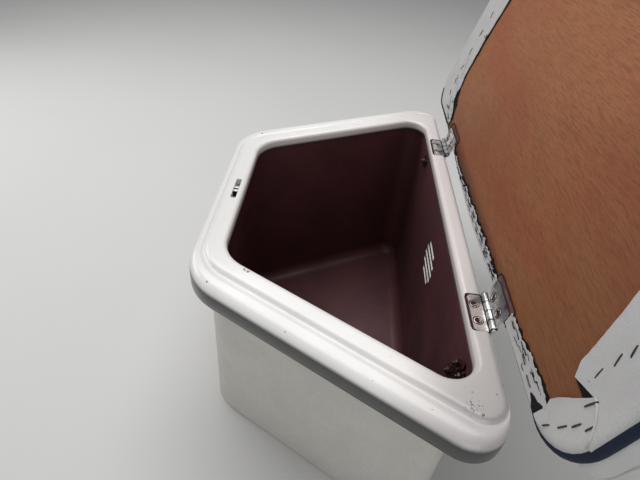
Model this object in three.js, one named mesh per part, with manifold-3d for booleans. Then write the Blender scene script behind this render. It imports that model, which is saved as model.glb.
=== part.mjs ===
// Bow locker of a rigid inflatable boat: a moulded well with a raised coaming,
// and a padded plywood lid on two hinges, standing open.
// Units are millimetres. +X points forward, +Y to port, +Z up.
// The origin is the middle of the flat underside that the locker stands on.

import * as THREE from 'three';
import { mergeVertices } from 'three/addons/utils/BufferGeometryUtils.js';
import Module from 'manifold-3d';

const wasm = await Module();
wasm.setup();

// Driving dimensions
const LENGTH = 322;
const AFT_WIDTH = 690;
const FORE_WIDTH = 328;
const TOP = 300;
const OPEN_ANGLE = THREE.MathUtils.degToRad(105);
const SEAT_GAP = 0.3;

const AFT_X = -LENGTH / 2;
const FORE_X = LENGTH / 2;
const TAPER = (AFT_WIDTH - FORE_WIDTH) / 2 / LENGTH;
const SIDE_STRETCH = Math.hypot(1, TAPER);

// Plan outlines, as distances in from the coaming's outer edge, with their corner radii
const OUTER = { aft: 0, fore: 0, side: 0, aftRadius: 34, foreRadius: 72 };
const PLATEAU = { aft: 1, fore: 13, side: 27, aftRadius: 22, foreRadius: 58 };
const OPENING = { aft: 22, fore: 37, side: 50, aftRadius: 25, foreRadius: 48 };

// Coaming
const SKIRT_DEPTH = 30;
const LAMINATE = 5;
const BAND_DROP = 3;
const BAND_ROLL = { size: 20, rise: 8, steps: 6 };
const PLATEAU_ROLL = { size: 5, rise: 3, steps: 4 };
const LIP_ROLL = { size: 4, rise: 5, steps: 4 };
const TOP_THICKNESS = 10;
const LIP_DEPTH = 16;
const LIP_RING_WIDTH = 12;

// Well, whose aft and side walls stand under the lip
const WELL = { aft: 22, fore: 18, side: 48, aftRadius: 22, foreRadius: 52 };
const WALL = 6;
const FLOOR = 8;
const VENT_Z = TOP - 92;
const VENT_HOLE_RADIUS = 34;

// Vent: a flange outside the aft wall and a slotted plug through it
const VENT_FLANGE = { radius: 42, thickness: 3 };
const VENT_SLOTS = { count: 5, pitch: 11.5, height: 6, reach: 30 };

// Latch slot in the forward band, and the keeper below it
const SLOT = { inset: 26, width: 7, length: 44 };
const KEEPER = { base: 3, baseTop: 13, lug: 4, lugGap: 3, lugTop: 1, clearance: 0.3 };

// Hinges
const HINGE_Y = 174;
const HINGE_LENGTH = 50;
const AXIS_X = AFT_X - 1.5;
const AXIS_Z = TOP + 1;
const LEAF = 2;
const KNUCKLES = 4;
const KNUCKLE_RADIUS = 3.3;
const KNUCKLE_GAP = 0.5;
const BORE_RADIUS = 1.9;
const PIN_RADIUS = 1.6;
const PIN_HEAD = { radius: 2.6, thickness: 1 };
const POCKET = { depth: 3.2, reach: 17.5, spare: 1 };
const BODY_LEAF_REACH = AFT_X + POCKET.reach - 0.5 - AXIS_X;
const BODY_LEAF_LOW = TOP - POCKET.depth + SEAT_GAP - AXIS_Z;
const LID_LEAF_REACH = 25;
const LID_LEAF_LOW = 0.7;

// Lid, in its own frame: x runs forward from the hinge axis when shut, z is up from the axis
const LID_HALF_WIDTH = 345;
const LID_FORE = 336;
const LID_CORNER = 45;
const HINGE_EDGE = { middle: 9, end: 18, spread: 150, points: 6 };
const BOARD_LOW = 3;
const BOARD = 12;
const EDGE_BAND = 2;
const WRAP = 1.1;
const WRAP_REACH = { aft: 11, fore: 50, side: 60 };
const CUSHION = { thickness: 40, overhang: 4, roll: { size: 14, rise: 15, steps: 5 } };

// Lid catch
const CATCH = { plate: 1.1, plateDepth: 14, plateLength: 40, prong: 3.5, prongLength: 8, prongY: 13.75, reach: 11 };

const ARC_STEPS = 10;
const ROUND_STEPS = 24;

// Materials
const GELCOAT = { color: 0xdedcd6, roughness: 0.35, metalness: 0 };
const WELL_PAINT = { color: 0x4a3236, roughness: 0.6, metalness: 0 };
const STEEL = { color: 0xb8b9ba, roughness: 0.22, metalness: 1 };
const WHITE_PLASTIC = { color: 0xe6e6e2, roughness: 0.45, metalness: 0 };
const PLYWOOD = { color: 0x8a5a40, roughness: 0.6, metalness: 0 };
const GREY_VINYL = { color: 0xb9bab8, roughness: 0.55, metalness: 0 };
const NAVY_VINYL = { color: 0x18243c, roughness: 0.5, metalness: 0 };

// A closed three.js geometry as a manifold solid
function solid(geometry) {
  const bare = geometry.clone();
  bare.deleteAttribute('normal');
  bare.deleteAttribute('uv');
  const merged = mergeVertices(bare, 1e-4);
  return new wasm.Manifold(new wasm.Mesh({
    numProp: 3,
    vertProperties: new Float32Array(merged.attributes.position.array),
    triVerts: new Uint32Array(merged.index.array),
  }));
}

function geometryOf(manifold) {
  const mesh = manifold.getMesh();
  const geometry = new THREE.BufferGeometry();
  geometry.setAttribute('position', new THREE.BufferAttribute(new Float32Array(mesh.vertProperties), 3));
  geometry.setIndex(new THREE.BufferAttribute(new Uint32Array(mesh.triVerts), 1));
  geometry.computeVertexNormals();
  return geometry;
}

function piece(name, manifold, finish) {
  const mesh = new THREE.Mesh(geometryOf(manifold), new THREE.MeshStandardMaterial(finish));
  mesh.name = name;
  return mesh;
}

function box(low, high) {
  const size = high.map((value, i) => value - low[i]);
  const geometry = new THREE.BoxGeometry(...size);
  geometry.translate(...low.map((value, i) => value + size[i] / 2));
  return solid(geometry);
}

// A round bar along Y
function barAlongY(radius, yLow, yHigh, x = 0, z = 0) {
  const geometry = new THREE.CylinderGeometry(radius, radius, yHigh - yLow, ROUND_STEPS);
  geometry.translate(x, (yLow + yHigh) / 2, z);
  return solid(geometry);
}

// A round bar along X
function barAlongX(radius, xLow, xHigh, y, z, steps = ROUND_STEPS * 2) {
  const geometry = new THREE.CylinderGeometry(radius, radius, xHigh - xLow, steps);
  geometry.rotateZ(Math.PI / 2);
  geometry.translate((xLow + xHigh) / 2, y, z);
  return solid(geometry);
}

// A polygon given anticlockwise as [x, y, radius] corners, each rounded to its radius
function roundedShape(points) {
  const shape = new THREE.Shape();
  points.forEach(([x, y, radius], i) => {
    const corner = new THREE.Vector2(x, y);
    const before = points[(i + points.length - 1) % points.length];
    const after = points[(i + 1) % points.length];
    const incoming = corner.clone().sub(new THREE.Vector2(before[0], before[1])).normalize();
    const outgoing = new THREE.Vector2(after[0], after[1]).sub(corner).normalize();
    const turn = Math.atan2(incoming.cross(outgoing), incoming.dot(outgoing));
    const start = corner.clone().addScaledVector(incoming, -radius * Math.tan(turn / 2));
    if (i === 0) shape.moveTo(start.x, start.y);
    else shape.lineTo(start.x, start.y);
    if (radius === 0) return;
    const centre = new THREE.Vector2(start.x - incoming.y * radius, start.y + incoming.x * radius);
    const from = Math.atan2(start.y - centre.y, start.x - centre.x);
    shape.absarc(centre.x, centre.y, radius, from, from + turn, false);
  });
  return shape;
}

// The locker's plan, a symmetric trapezoid, narrower forward
function plan(inset) {
  const halfWidth = (x) => AFT_WIDTH / 2 - TAPER * (x - AFT_X) - inset.side * SIDE_STRETCH;
  const aft = AFT_X + inset.aft;
  const fore = FORE_X - inset.fore;
  return roundedShape([
    [aft, -halfWidth(aft), inset.aftRadius],
    [fore, -halfWidth(fore), inset.foreRadius],
    [fore, halfWidth(fore), inset.foreRadius],
    [aft, halfWidth(aft), inset.aftRadius],
  ]);
}

// The same plan outline moved outward by a distance
function grown(inset, by) {
  return {
    aft: inset.aft - by,
    fore: inset.fore - by,
    side: inset.side - by,
    aftRadius: inset.aftRadius + by,
    foreRadius: inset.foreRadius + by,
  };
}

function withHole(shape, hole) {
  shape.holes.push(new THREE.Path(hole.getPoints(ARC_STEPS).reverse()));
  return shape;
}

// An upright slab of a plan shape; a roll rounds its upper edges
function slab(shape, zLow, zHigh, roll = null) {
  const settings = { depth: zHigh - zLow, curveSegments: ARC_STEPS, bevelEnabled: false };
  if (roll) {
    Object.assign(settings, {
      bevelEnabled: true,
      bevelSize: roll.size,
      bevelOffset: -roll.size,
      bevelThickness: roll.rise,
      bevelSegments: roll.steps,
      depth: zHigh - zLow - roll.rise,
    });
  }
  const geometry = new THREE.ExtrudeGeometry(shape, settings);
  geometry.translate(0, 0, zLow);
  const body = solid(geometry);
  if (!roll) return body;
  const wide = AFT_WIDTH;
  return body.subtract(box([-wide, -wide, zLow - 2 * roll.rise], [wide, wide, zLow]));
}

// Coaming: a sloped outer band, a raised inner band and a turned-down lip round the opening
function coaming() {
  const low = TOP - SKIRT_DEPTH;
  const under = TOP - TOP_THICKNESS;
  let body = slab(plan(OUTER), low, TOP - BAND_DROP, BAND_ROLL);
  body = body.add(slab(plan(PLATEAU), under, TOP, PLATEAU_ROLL));
  body = body.subtract(slab(plan(grown(OUTER, -LAMINATE)), low - 1, under));
  body = body.subtract(slab(plan(grown(OPENING, LAMINATE)), under - 1, TOP + 1));
  const lipRing = withHole(plan(grown(OPENING, LIP_RING_WIDTH)), plan(OPENING));
  body = body.add(slab(lipRing, under, TOP, LIP_ROLL));
  const lipWall = withHole(plan(grown(OPENING, LAMINATE)), plan(OPENING));
  body = body.add(slab(lipWall, TOP - LIP_DEPTH, TOP - LIP_ROLL.rise));
  for (const side of [1, -1]) {
    const half = HINGE_LENGTH / 2 + POCKET.spare;
    const middle = side * HINGE_Y;
    body = body.subtract(box(
      [AFT_X - 1, middle - half, TOP - POCKET.depth],
      [AFT_X + POCKET.reach, middle + half, TOP + 1],
    ));
  }
  return body.subtract(latchSlot());
}

function latchSlot() {
  const middle = FORE_X - SLOT.inset;
  return box(
    [middle - SLOT.width / 2, -SLOT.length / 2, TOP - TOP_THICKNESS - 1],
    [middle + SLOT.width / 2, SLOT.length / 2, TOP + 1],
  );
}

// Keeper: a bar under the latch slot with two lugs that stand in it
function keeper() {
  const middle = FORE_X - SLOT.inset;
  const half = SLOT.width / 2 - KEEPER.clearance;
  const underside = TOP - TOP_THICKNESS - SEAT_GAP;
  let body = box(
    [middle - half, -SLOT.length / 2 - 8, TOP - KEEPER.baseTop - KEEPER.base],
    [middle + half, SLOT.length / 2 + 8, TOP - KEEPER.baseTop],
  );
  for (const side of [1, -1]) {
    const near = side * KEEPER.lugGap / 2;
    const far = side * (KEEPER.lugGap / 2 + KEEPER.lug);
    body = body.add(box(
      [middle - half, Math.min(near, far), TOP - KEEPER.baseTop - 1],
      [middle + half, Math.max(near, far), TOP - KEEPER.lugTop],
    ));
    const end = side * (SLOT.length / 2 + 8);
    const root = side * (SLOT.length / 2 + 2);
    body = body.add(box(
      [middle - half, Math.min(end, root), TOP - KEEPER.baseTop - 1],
      [middle + half, Math.max(end, root), underside],
    ));
  }
  return body;
}

// Well: four walls and a floor in one moulding, rebated for the lip, with a vent hole aft
function well() {
  const top = TOP - TOP_THICKNESS - SEAT_GAP;
  const rebate = TOP - LIP_DEPTH - SEAT_GAP;
  const outer = grown(WELL, WALL);
  const wallX = AFT_X + outer.aft;
  return slab(plan(outer), 0, top)
    .subtract(slab(plan(WELL), FLOOR, top + 1))
    .subtract(slab(plan(grown(OPENING, LAMINATE + SEAT_GAP)), rebate, top + 1))
    .subtract(barAlongX(VENT_HOLE_RADIUS, wallX - 1, wallX + WALL + 1, 0, VENT_Z));
}

// Vent: a round flange outside the aft wall, and a plug that ends flush with the wall inside
function vent() {
  const inside = AFT_X + WELL.aft;
  const seat = inside - WALL - SEAT_GAP;
  const outside = seat - VENT_FLANGE.thickness;
  let body = barAlongX(VENT_FLANGE.radius, outside, seat, 0, VENT_Z);
  body = body.add(barAlongX(VENT_HOLE_RADIUS - SEAT_GAP, seat - 1, inside, 0, VENT_Z));
  for (let i = 0; i < VENT_SLOTS.count; i += 1) {
    const offset = (i - (VENT_SLOTS.count - 1) / 2) * VENT_SLOTS.pitch;
    const half = Math.sqrt(VENT_SLOTS.reach ** 2 - offset ** 2);
    body = body.subtract(box(
      [outside - 1, -half, VENT_Z + offset - VENT_SLOTS.height / 2],
      [inside + 1, half, VENT_Z + offset + VENT_SLOTS.height / 2],
    ));
  }
  return body;
}

// A hinge leaf about its own axis, reaching along +X, with every second knuckle
function hingeLeaf(reach, plateLow, firstKnuckle) {
  const half = HINGE_LENGTH / 2;
  const pitch = HINGE_LENGTH / KNUCKLES;
  const plate = roundedShape([[0, -half, 0], [reach, -half, 5], [reach, half, 5], [0, half, 0]]);
  let body = slab(plate, plateLow, plateLow + LEAF);
  for (let i = 0; i < KNUCKLES; i += 1) {
    const yLow = -half + i * pitch;
    const own = i % 2 === firstKnuckle;
    if (own) {
      body = body.add(barAlongY(KNUCKLE_RADIUS, yLow + KNUCKLE_GAP / 2, yLow + pitch - KNUCKLE_GAP / 2));
    } else {
      const clear = KNUCKLE_RADIUS + KNUCKLE_GAP;
      body = body.subtract(barAlongY(clear, yLow - KNUCKLE_GAP / 2, yLow + pitch + KNUCKLE_GAP / 2));
    }
  }
  return body.subtract(barAlongY(BORE_RADIUS, -half - 1, half + 1));
}

// Hinge pin with a flat head at each end
function hingePin() {
  const half = HINGE_LENGTH / 2 + SEAT_GAP;
  const end = half + PIN_HEAD.thickness;
  const profile = [
    [0, -end],
    [PIN_HEAD.radius, -end],
    [PIN_HEAD.radius, -half],
    [PIN_RADIUS, -half],
    [PIN_RADIUS, half],
    [PIN_HEAD.radius, half],
    [PIN_HEAD.radius, end],
    [0, end],
  ];
  return solid(new THREE.LatheGeometry(profile.map(([r, y]) => new THREE.Vector2(r, y)), ROUND_STEPS));
}

// The lid's plan: a rectangle with round corners, whose hinge edge bows between the hinges
function lidPlan(grow = 0, inset = { aft: 0, fore: 0, side: 0 }) {
  const { middle, end, spread, points } = HINGE_EDGE;
  const edge = (y) => end - (end - middle) * Math.exp(-((y / spread) ** 2)) - grow + inset.aft;
  const halfWidth = LID_HALF_WIDTH + grow - inset.side;
  const fore = LID_FORE + grow - inset.fore;
  const radius = Math.max(LID_CORNER + grow - inset.side, 10);
  const bulgeHalf = LID_HALF_WIDTH - WRAP_REACH.side - LID_CORNER;
  const bulge = [];
  for (let i = -points; i <= points; i += 1) {
    const y = -bulgeHalf * i / points;
    bulge.push([edge(y), y, 0]);
  }
  return roundedShape([
    ...bulge,
    [edge(halfWidth), -halfWidth, radius],
    [fore, -halfWidth, radius],
    [fore, halfWidth, radius],
    [edge(halfWidth), halfWidth, radius],
  ]);
}

function lidBoard() {
  return slab(lidPlan(), BOARD_LOW, BOARD_LOW + BOARD);
}

// The coloured band round the board's edge
function edgeBand() {
  const ring = withHole(lidPlan(SEAT_GAP + EDGE_BAND), lidPlan(SEAT_GAP));
  return slab(ring, BOARD_LOW, BOARD_LOW + BOARD);
}

// The cover's turned-under edge on the board's underside, before it is parted at the hinges
function wrapRing() {
  const ring = withHole(lidPlan(SEAT_GAP + EDGE_BAND), lidPlan(0, WRAP_REACH));
  const high = BOARD_LOW - SEAT_GAP;
  return slab(ring, high - WRAP, high);
}

// A block over the hinge edge that spans a half width to each side of the centreline
function hingeEdgeBlock(halfSpan) {
  return box([-10, -halfSpan, 0], [LID_LEAF_REACH + SEAT_GAP, halfSpan, BOARD_LOW + 1]);
}

function underWrap() {
  return wrapRing().subtract(hingeEdgeBlock(HINGE_Y + HINGE_LENGTH / 2 + SEAT_GAP));
}

function hingeEdgeWrap() {
  return wrapRing().intersect(hingeEdgeBlock(HINGE_Y - HINGE_LENGTH / 2 - SEAT_GAP));
}

function cushion() {
  const low = BOARD_LOW + BOARD + SEAT_GAP;
  return slab(lidPlan(CUSHION.overhang), low, low + CUSHION.thickness, CUSHION.roll);
}

// Catch: a plate under the lid's forward edge with two prongs for the latch slot
function lidCatch() {
  const middle = FORE_X - SLOT.inset - AXIS_X;
  const plateHigh = BOARD_LOW - SEAT_GAP - WRAP - SEAT_GAP;
  const plateLow = plateHigh - CATCH.plate;
  let body = box(
    [middle - CATCH.plateDepth / 2, -CATCH.plateLength / 2, plateLow],
    [middle + CATCH.plateDepth / 2, CATCH.plateLength / 2, plateHigh],
  );
  for (const side of [1, -1]) {
    const centre = side * CATCH.prongY;
    body = body.add(box(
      [middle - CATCH.prong / 2, centre - CATCH.prongLength / 2, plateHigh - CATCH.reach],
      [middle + CATCH.prong / 2, centre + CATCH.prongLength / 2, plateLow + CATCH.plate / 2],
    ));
  }
  return body;
}

const locker = new THREE.Group();
locker.add(
  piece('coaming', coaming(), GELCOAT),
  piece('well', well(), WELL_PAINT),
  piece('vent', vent(), WHITE_PLASTIC),
  piece('latch_keeper', keeper(), WHITE_PLASTIC),
);

const lid = new THREE.Group();
lid.add(
  piece('lid_board', lidBoard(), PLYWOOD),
  piece('lid_edge_band', edgeBand(), NAVY_VINYL),
  piece('lid_under_wrap', underWrap(), GREY_VINYL),
  piece('lid_hinge_edge_wrap', hingeEdgeWrap(), GREY_VINYL),
  piece('lid_cushion', cushion(), GREY_VINYL),
  piece('lid_catch', lidCatch(), STEEL),
);

for (const [name, side] of [['port', 1], ['starboard', -1]]) {
  const bodyLeaf = piece(`hinge_body_leaf_${name}`, hingeLeaf(BODY_LEAF_REACH, BODY_LEAF_LOW, 0), STEEL);
  const pin = piece(`hinge_pin_${name}`, hingePin(), STEEL);
  for (const part of [bodyLeaf, pin]) {
    part.position.set(AXIS_X, side * HINGE_Y, AXIS_Z);
    locker.add(part);
  }
  const lidLeaf = piece(`hinge_lid_leaf_${name}`, hingeLeaf(LID_LEAF_REACH, LID_LEAF_LOW, 1), STEEL);
  lidLeaf.position.y = side * HINGE_Y;
  lid.add(lidLeaf);
}

lid.position.set(AXIS_X, 0, AXIS_Z);
lid.rotation.y = -OPEN_ANGLE;

const boatLocker = new THREE.Group();
boatLocker.add(locker, lid);

export default boatLocker;
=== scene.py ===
"""Bow locker of a rigid inflatable boat, with its padded lid standing open.

Laid out as an add-on: each operator models one piece, or one group of like pieces,
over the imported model's frame: +X forward, +Y port, +Z up. The locker's lines, and the
tables of points along them, are in millimetres. Settings and small hardware are in metres.
"""

import math

import bmesh
import bpy
from bpy.props import FloatProperty, FloatVectorProperty, PointerProperty
from mathutils import Matrix, Vector, noise


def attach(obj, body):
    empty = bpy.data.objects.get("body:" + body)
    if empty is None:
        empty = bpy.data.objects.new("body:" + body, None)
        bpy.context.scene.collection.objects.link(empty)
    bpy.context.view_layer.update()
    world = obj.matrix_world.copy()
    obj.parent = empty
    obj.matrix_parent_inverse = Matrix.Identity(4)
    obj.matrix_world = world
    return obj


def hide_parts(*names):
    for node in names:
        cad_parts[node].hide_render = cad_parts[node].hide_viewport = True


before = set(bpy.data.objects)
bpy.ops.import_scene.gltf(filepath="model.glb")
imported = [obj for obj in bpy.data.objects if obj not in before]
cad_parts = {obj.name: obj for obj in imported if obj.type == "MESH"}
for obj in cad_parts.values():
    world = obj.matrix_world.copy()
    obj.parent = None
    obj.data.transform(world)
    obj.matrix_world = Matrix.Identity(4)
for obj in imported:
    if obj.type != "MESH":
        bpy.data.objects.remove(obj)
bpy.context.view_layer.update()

bl_info = {
    "name": "Boat bow locker",
    "version": (1, 0, 0),
    "blender": (4, 5, 0),
    "location": "3D View > Sidebar > Locker",
    "description": "Moulded bow locker with a hinged, padded lid",
    "category": "Add Mesh",
}

MM = 0.001


def mm(*place):
    return Vector(place) * MM


# The locker's lines

LENGTH = 322
AFT_WIDTH = 690
FORE_WIDTH = 328
TOP = 300
AFT_X = -LENGTH / 2
FORE_X = LENGTH / 2
TAPER = (AFT_WIDTH - FORE_WIDTH) / 2 / LENGTH
SIDE_STRETCH = math.hypot(1, TAPER)

# Distances in from the coaming's outer edge: aft, fore, side, aft radius, fore radius
OUTER = (0, 0, 0, 34, 72)
PLATEAU = (1, 13, 27, 22, 58)
OPENING = (22, 37, 50, 25, 48)
WELL = (22, 18, 48, 22, 52)

WALL = 6
FLOOR = 8
VENT_Z = TOP - 92
VENT_HOLE_RADIUS = 34
SLOT = {"x": FORE_X - 26, "width": 7, "length": 44}

HINGE_Y = 174
HINGE_LENGTH = 50
AXIS_X = AFT_X - 1.5
AXIS_Z = TOP + 1
POCKET = {"depth": 3.2, "reach": 17.5, "spare": 1, "gap": 2.2}

# The lid's own frame: a runs from the hinge axis to the free edge, c from underside to top
OPEN_ANGLE = math.radians(105)
ALONG = Vector((math.cos(OPEN_ANGLE), 0, math.sin(OPEN_ANGLE)))
ACROSS = Vector((-math.sin(OPEN_ANGLE), 0, math.cos(OPEN_ANGLE)))
HINGE_LINE = mm(AXIS_X, 0, AXIS_Z)

LID_HALF_WIDTH = 345
LID_FORE = 336
LID_CORNER = 45
STARBOARD_CUT = 15
LID_LEAF_REACH = 25
BOARD_LOW = 3
BOARD = 12
# How far to each side the lid's hinge edge is drawn as a curve, and in how many steps
BOW_REACH = 240
BOW_STEPS = 14


def between(a, b, t):
    return tuple(x + (y - x) * t for x, y in zip(a, b))


def grown(inset, by):
    aft, fore, side, aft_radius, fore_radius = inset
    return (aft - by, fore - by, side - by, aft_radius + by, fore_radius + by)


def rounded_outline(corners, arc_steps, side_steps):
    """Points round a polygon of (x, y, radius) corners, the same number for any radius."""
    count = len(corners)
    arcs = []
    for i, (x, y, radius) in enumerate(corners):
        before, after = corners[i - 1], corners[(i + 1) % count]
        corner = Vector((x, y))
        incoming = (corner - Vector(before[:2])).normalized()
        outgoing = (Vector(after[:2]) - corner).normalized()
        turn = math.atan2(incoming.x * outgoing.y - incoming.y * outgoing.x,
                          incoming.dot(outgoing))
        if radius <= 0:
            arcs.append([corner])
            continue
        start = corner - incoming * radius * math.tan(turn / 2)
        centre = start + Vector((-incoming.y, incoming.x)) * radius
        first = math.atan2(start.y - centre.y, start.x - centre.x)
        arcs.append([
            centre + radius * Vector((math.cos(first + turn * k / arc_steps),
                                      math.sin(first + turn * k / arc_steps)))
            for k in range(arc_steps + 1)
        ])
    outline = []
    for i, arc in enumerate(arcs):
        outline += arc
        end, start = arc[-1], arcs[(i + 1) % count][0]
        steps = side_steps[i]
        outline += [end.lerp(start, k / (steps + 1)) for k in range(1, steps + 1)]
    return outline


def plan_ring(inset, z):
    """The coaming's plan at a height, a symmetric trapezoid, narrower forward."""
    aft_inset, fore_inset, side, aft_radius, fore_radius = inset
    aft, fore = AFT_X + aft_inset, FORE_X - fore_inset
    aft_half, fore_half = (AFT_WIDTH / 2 - TAPER * (x - AFT_X) - side * SIDE_STRETCH for x in (aft, fore))
    corners = [(aft, -aft_half, aft_radius), (fore, -fore_half, fore_radius),
               (fore, fore_half, fore_radius), (aft, aft_half, aft_radius)]
    return [mm(p.x, p.y, z) for p in rounded_outline(corners, 12, [26] * 4)]


def hinge_edge(y):
    """The lid's hinge edge, which bows between the hinges."""
    return 18 - 9 * math.exp(-((y / 150) ** 2))


def lid_outline(grow=0.0):
    """The lid's plan in its own frame, grown by a distance."""
    half, fore, radius = LID_HALF_WIDTH + grow, LID_FORE + grow, max(LID_CORNER + grow, 8)
    aft = hinge_edge(half) - grow
    bow = [-BOW_REACH * i / BOW_STEPS for i in range(-BOW_STEPS, BOW_STEPS + 1)]
    corners = [(hinge_edge(y) - grow, y, 0) for y in bow]
    corners += [(aft, -half, radius + STARBOARD_CUT), (fore, -half, radius),
                (fore, half, radius), (aft, half, radius)]
    return rounded_outline(corners, 10, [0] * (2 * BOW_STEPS) + [4, 22, 40, 22, 4])


def on_lid(a, y, c):
    """A point of the lid's own frame, in the locker's frame."""
    return HINGE_LINE + (ALONG * a + ACROSS * c) * MM + Vector((0, y * MM, 0))


def off_lid(place):
    """A place's distance from the hinge axis, distance to port and height, in the lid's own frame."""
    spot = place - HINGE_LINE
    return spot.dot(ALONG) / MM, spot.y / MM, spot.dot(ACROSS) / MM


def clamped(value):
    return min(max(value, 0), 1)


# Modelling helpers

def clear_selection():
    if bpy.context.mode != "OBJECT":
        bpy.ops.object.mode_set(mode="OBJECT")
    bpy.ops.object.select_all(action="DESELECT")


def only(piece):
    clear_selection()
    piece.select_set(True)
    bpy.context.view_layer.objects.active = piece
    return piece


def named(piece, name):
    piece.name = piece.data.name = name
    return piece


def modified(piece, kind, **settings):
    """Adds a modifier, sets it and applies it."""
    only(piece)
    modifier = piece.modifiers.new(kind.title(), kind)
    for key, value in settings.items():
        setattr(modifier, key, value)
    bpy.ops.object.modifier_apply(modifier=modifier.name)
    return piece


def settled(piece):
    """Puts the piece's place, turn and scale into its mesh."""
    only(piece)
    bpy.ops.object.transform_apply(location=True, rotation=True, scale=True)
    return piece


def smoothed(piece, degrees):
    only(piece)
    bpy.ops.object.shade_smooth_by_angle(angle=math.radians(degrees))
    return piece


def circle(centre, side, up, radius, count):
    """Points of a circle about a centre, in the plane of two directions."""
    turns = [2 * math.pi * k / count for k in range(count)]
    return [centre + (side * math.cos(t) + up * math.sin(t)) * radius for t in turns]


def ring_piece(name, rings, ends):
    """Extrudes a ring of edges from station to station. Its ends are capped, or joined to each other."""
    clear_selection()
    bpy.ops.mesh.primitive_circle_add(vertices=len(rings[0]), radius=0.05)
    piece = named(bpy.context.active_object, name)
    bpy.ops.object.mode_set(mode="EDIT")
    form = bmesh.from_edit_mesh(piece.data)
    place = form.verts.layers.int.new("place")
    for k, vert in enumerate(form.verts):
        vert[place] = k
        vert.co = rings[0][k]
    bmesh.update_edit_mesh(piece.data)
    for ring in rings[1:]:
        bpy.ops.mesh.extrude_region_move(TRANSFORM_OT_translate={"value": (0, 0, 0)})
        form = bmesh.from_edit_mesh(piece.data)
        place = form.verts.layers.int["place"]
        for vert in form.verts:
            if vert.select:
                vert.co = ring[vert[place]]
        bmesh.update_edit_mesh(piece.data)
    if ends == "capped":
        bpy.ops.mesh.edge_face_add()
    bpy.ops.mesh.select_all(action="DESELECT")
    bpy.ops.mesh.select_mode(type="EDGE")
    bpy.ops.mesh.select_non_manifold(extend=False, use_wire=False, use_multi_face=False,
                                     use_non_contiguous=False, use_verts=False)
    if ends == "capped":
        bpy.ops.mesh.edge_face_add()
    else:
        bpy.ops.mesh.bridge_edge_loops()
    bpy.ops.mesh.select_mode(type="VERT")
    bpy.ops.mesh.select_all(action="SELECT")
    bpy.ops.mesh.normals_make_consistent(inside=False)
    bpy.ops.object.mode_set(mode="OBJECT")
    piece.data.attributes.remove(piece.data.attributes["place"])
    return piece


def plan_piece(name, sections, ends):
    """A piece that follows the coaming's plan, through sections of an inset and a height."""
    return ring_piece(name, [plan_ring(*section) for section in sections], ends)


def lid_piece(name, sections, ends):
    """A piece that follows the lid's plan, through sections of a growth and a height on the lid."""
    return ring_piece(name, [[on_lid(p.x, p.y, c) for p in lid_outline(grow)] for grow, c in sections],
                      ends)


def wire(name, path, radius, sides=8, taper=1.0):
    """A round wire along a path of points, with capped ends."""
    rings = []
    points = [Vector(p) for p in path]
    last = len(points) - 1
    side = None
    for i, point in enumerate(points):
        ahead = (points[min(i + 1, last)] - points[max(i - 1, 0)]).normalized()
        if side is None:
            side = ahead.orthogonal().normalized()
        side = (side - ahead * side.dot(ahead)).normalized()
        rings.append(circle(point, side, ahead.cross(side), radius * (taper if i in (0, last) else 1),
                            sides))
    return ring_piece(name, rings, "capped")


def bevelled(piece, width, segments):
    """Rounds every edge of the piece."""
    only(piece)
    bpy.ops.object.mode_set(mode="EDIT")
    bpy.ops.mesh.select_all(action="SELECT")
    bpy.ops.mesh.bevel(offset=width, segments=segments, affect="EDGES")
    bpy.ops.object.mode_set(mode="OBJECT")
    return piece


def block(name, low, high, bevel, segments=3):
    """A bevelled block between two corners."""
    clear_selection()
    bpy.ops.mesh.primitive_cube_add(size=1, location=(Vector(low) + Vector(high)) / 2)
    piece = named(bpy.context.active_object, name)
    piece.scale = Vector(high) - Vector(low)
    return bevelled(settled(piece), bevel, segments)


def cylinder(radius, depth, sides, place=(0, 0, 0), turn=(0, 0, 0)):
    """A cylinder, to cut with or to work on."""
    clear_selection()
    bpy.ops.mesh.primitive_cylinder_add(vertices=sides, radius=radius, depth=depth, location=place,
                                        rotation=turn)
    return settled(bpy.context.active_object)


def cut(piece, *cutters):
    for cutter in cutters:
        modified(piece, "BOOLEAN", operation="DIFFERENCE", object=cutter, solver="EXACT")
        bpy.data.objects.remove(cutter)
    return piece


def joined(name, pieces):
    clear_selection()
    for piece in pieces:
        piece.select_set(True)
    bpy.context.view_layer.objects.active = pieces[0]
    bpy.ops.object.join()
    return named(pieces[0], name)


def copied(pattern, name, place):
    """A copy of a finished pattern with its own mesh, put in place by a matrix."""
    only(pattern)
    bpy.ops.object.duplicate(linked=False)
    copy = named(bpy.context.active_object, name)
    copy.data.transform(place)
    return copy


def softened(node, name, edge):
    """A merged copy of a CAD node with its edges eased, which stands for it."""
    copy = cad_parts[node].copy()
    copy.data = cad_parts[node].data.copy()
    copy.parent = None
    for key in list(copy.keys()):
        del copy[key]
    bpy.context.scene.collection.objects.link(copy)
    named(copy, name)
    copy.data.materials.clear()
    only(copy)
    bpy.ops.object.mode_set(mode="EDIT")
    bpy.ops.mesh.select_all(action="SELECT")
    bpy.ops.mesh.remove_doubles(threshold=0.00001)
    bpy.ops.mesh.dissolve_limited(angle_limit=math.radians(1))
    bpy.ops.mesh.normals_make_consistent(inside=False)
    bpy.ops.object.mode_set(mode="OBJECT")
    if edge > 0:
        modified(copy, "BEVEL", width=edge, segments=2, limit_method="ANGLE",
                 angle_limit=math.radians(35), harden_normals=False)
    smoothed(copy, 35)
    modified(copy, "WEIGHTED_NORMAL", keep_sharp=True, weight=50)
    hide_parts(node)
    return copy


def coated(piece, usual, other=None, where=None):
    """Gives the piece its finish, or another one on the faces that a test picks."""
    piece.data.materials.clear()
    piece.data.materials.append(FINISHES[usual])
    if other:
        piece.data.materials.append(FINISHES[other])
        for face in piece.data.polygons:
            face.material_index = 1 if where(face) else 0
    return piece


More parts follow.
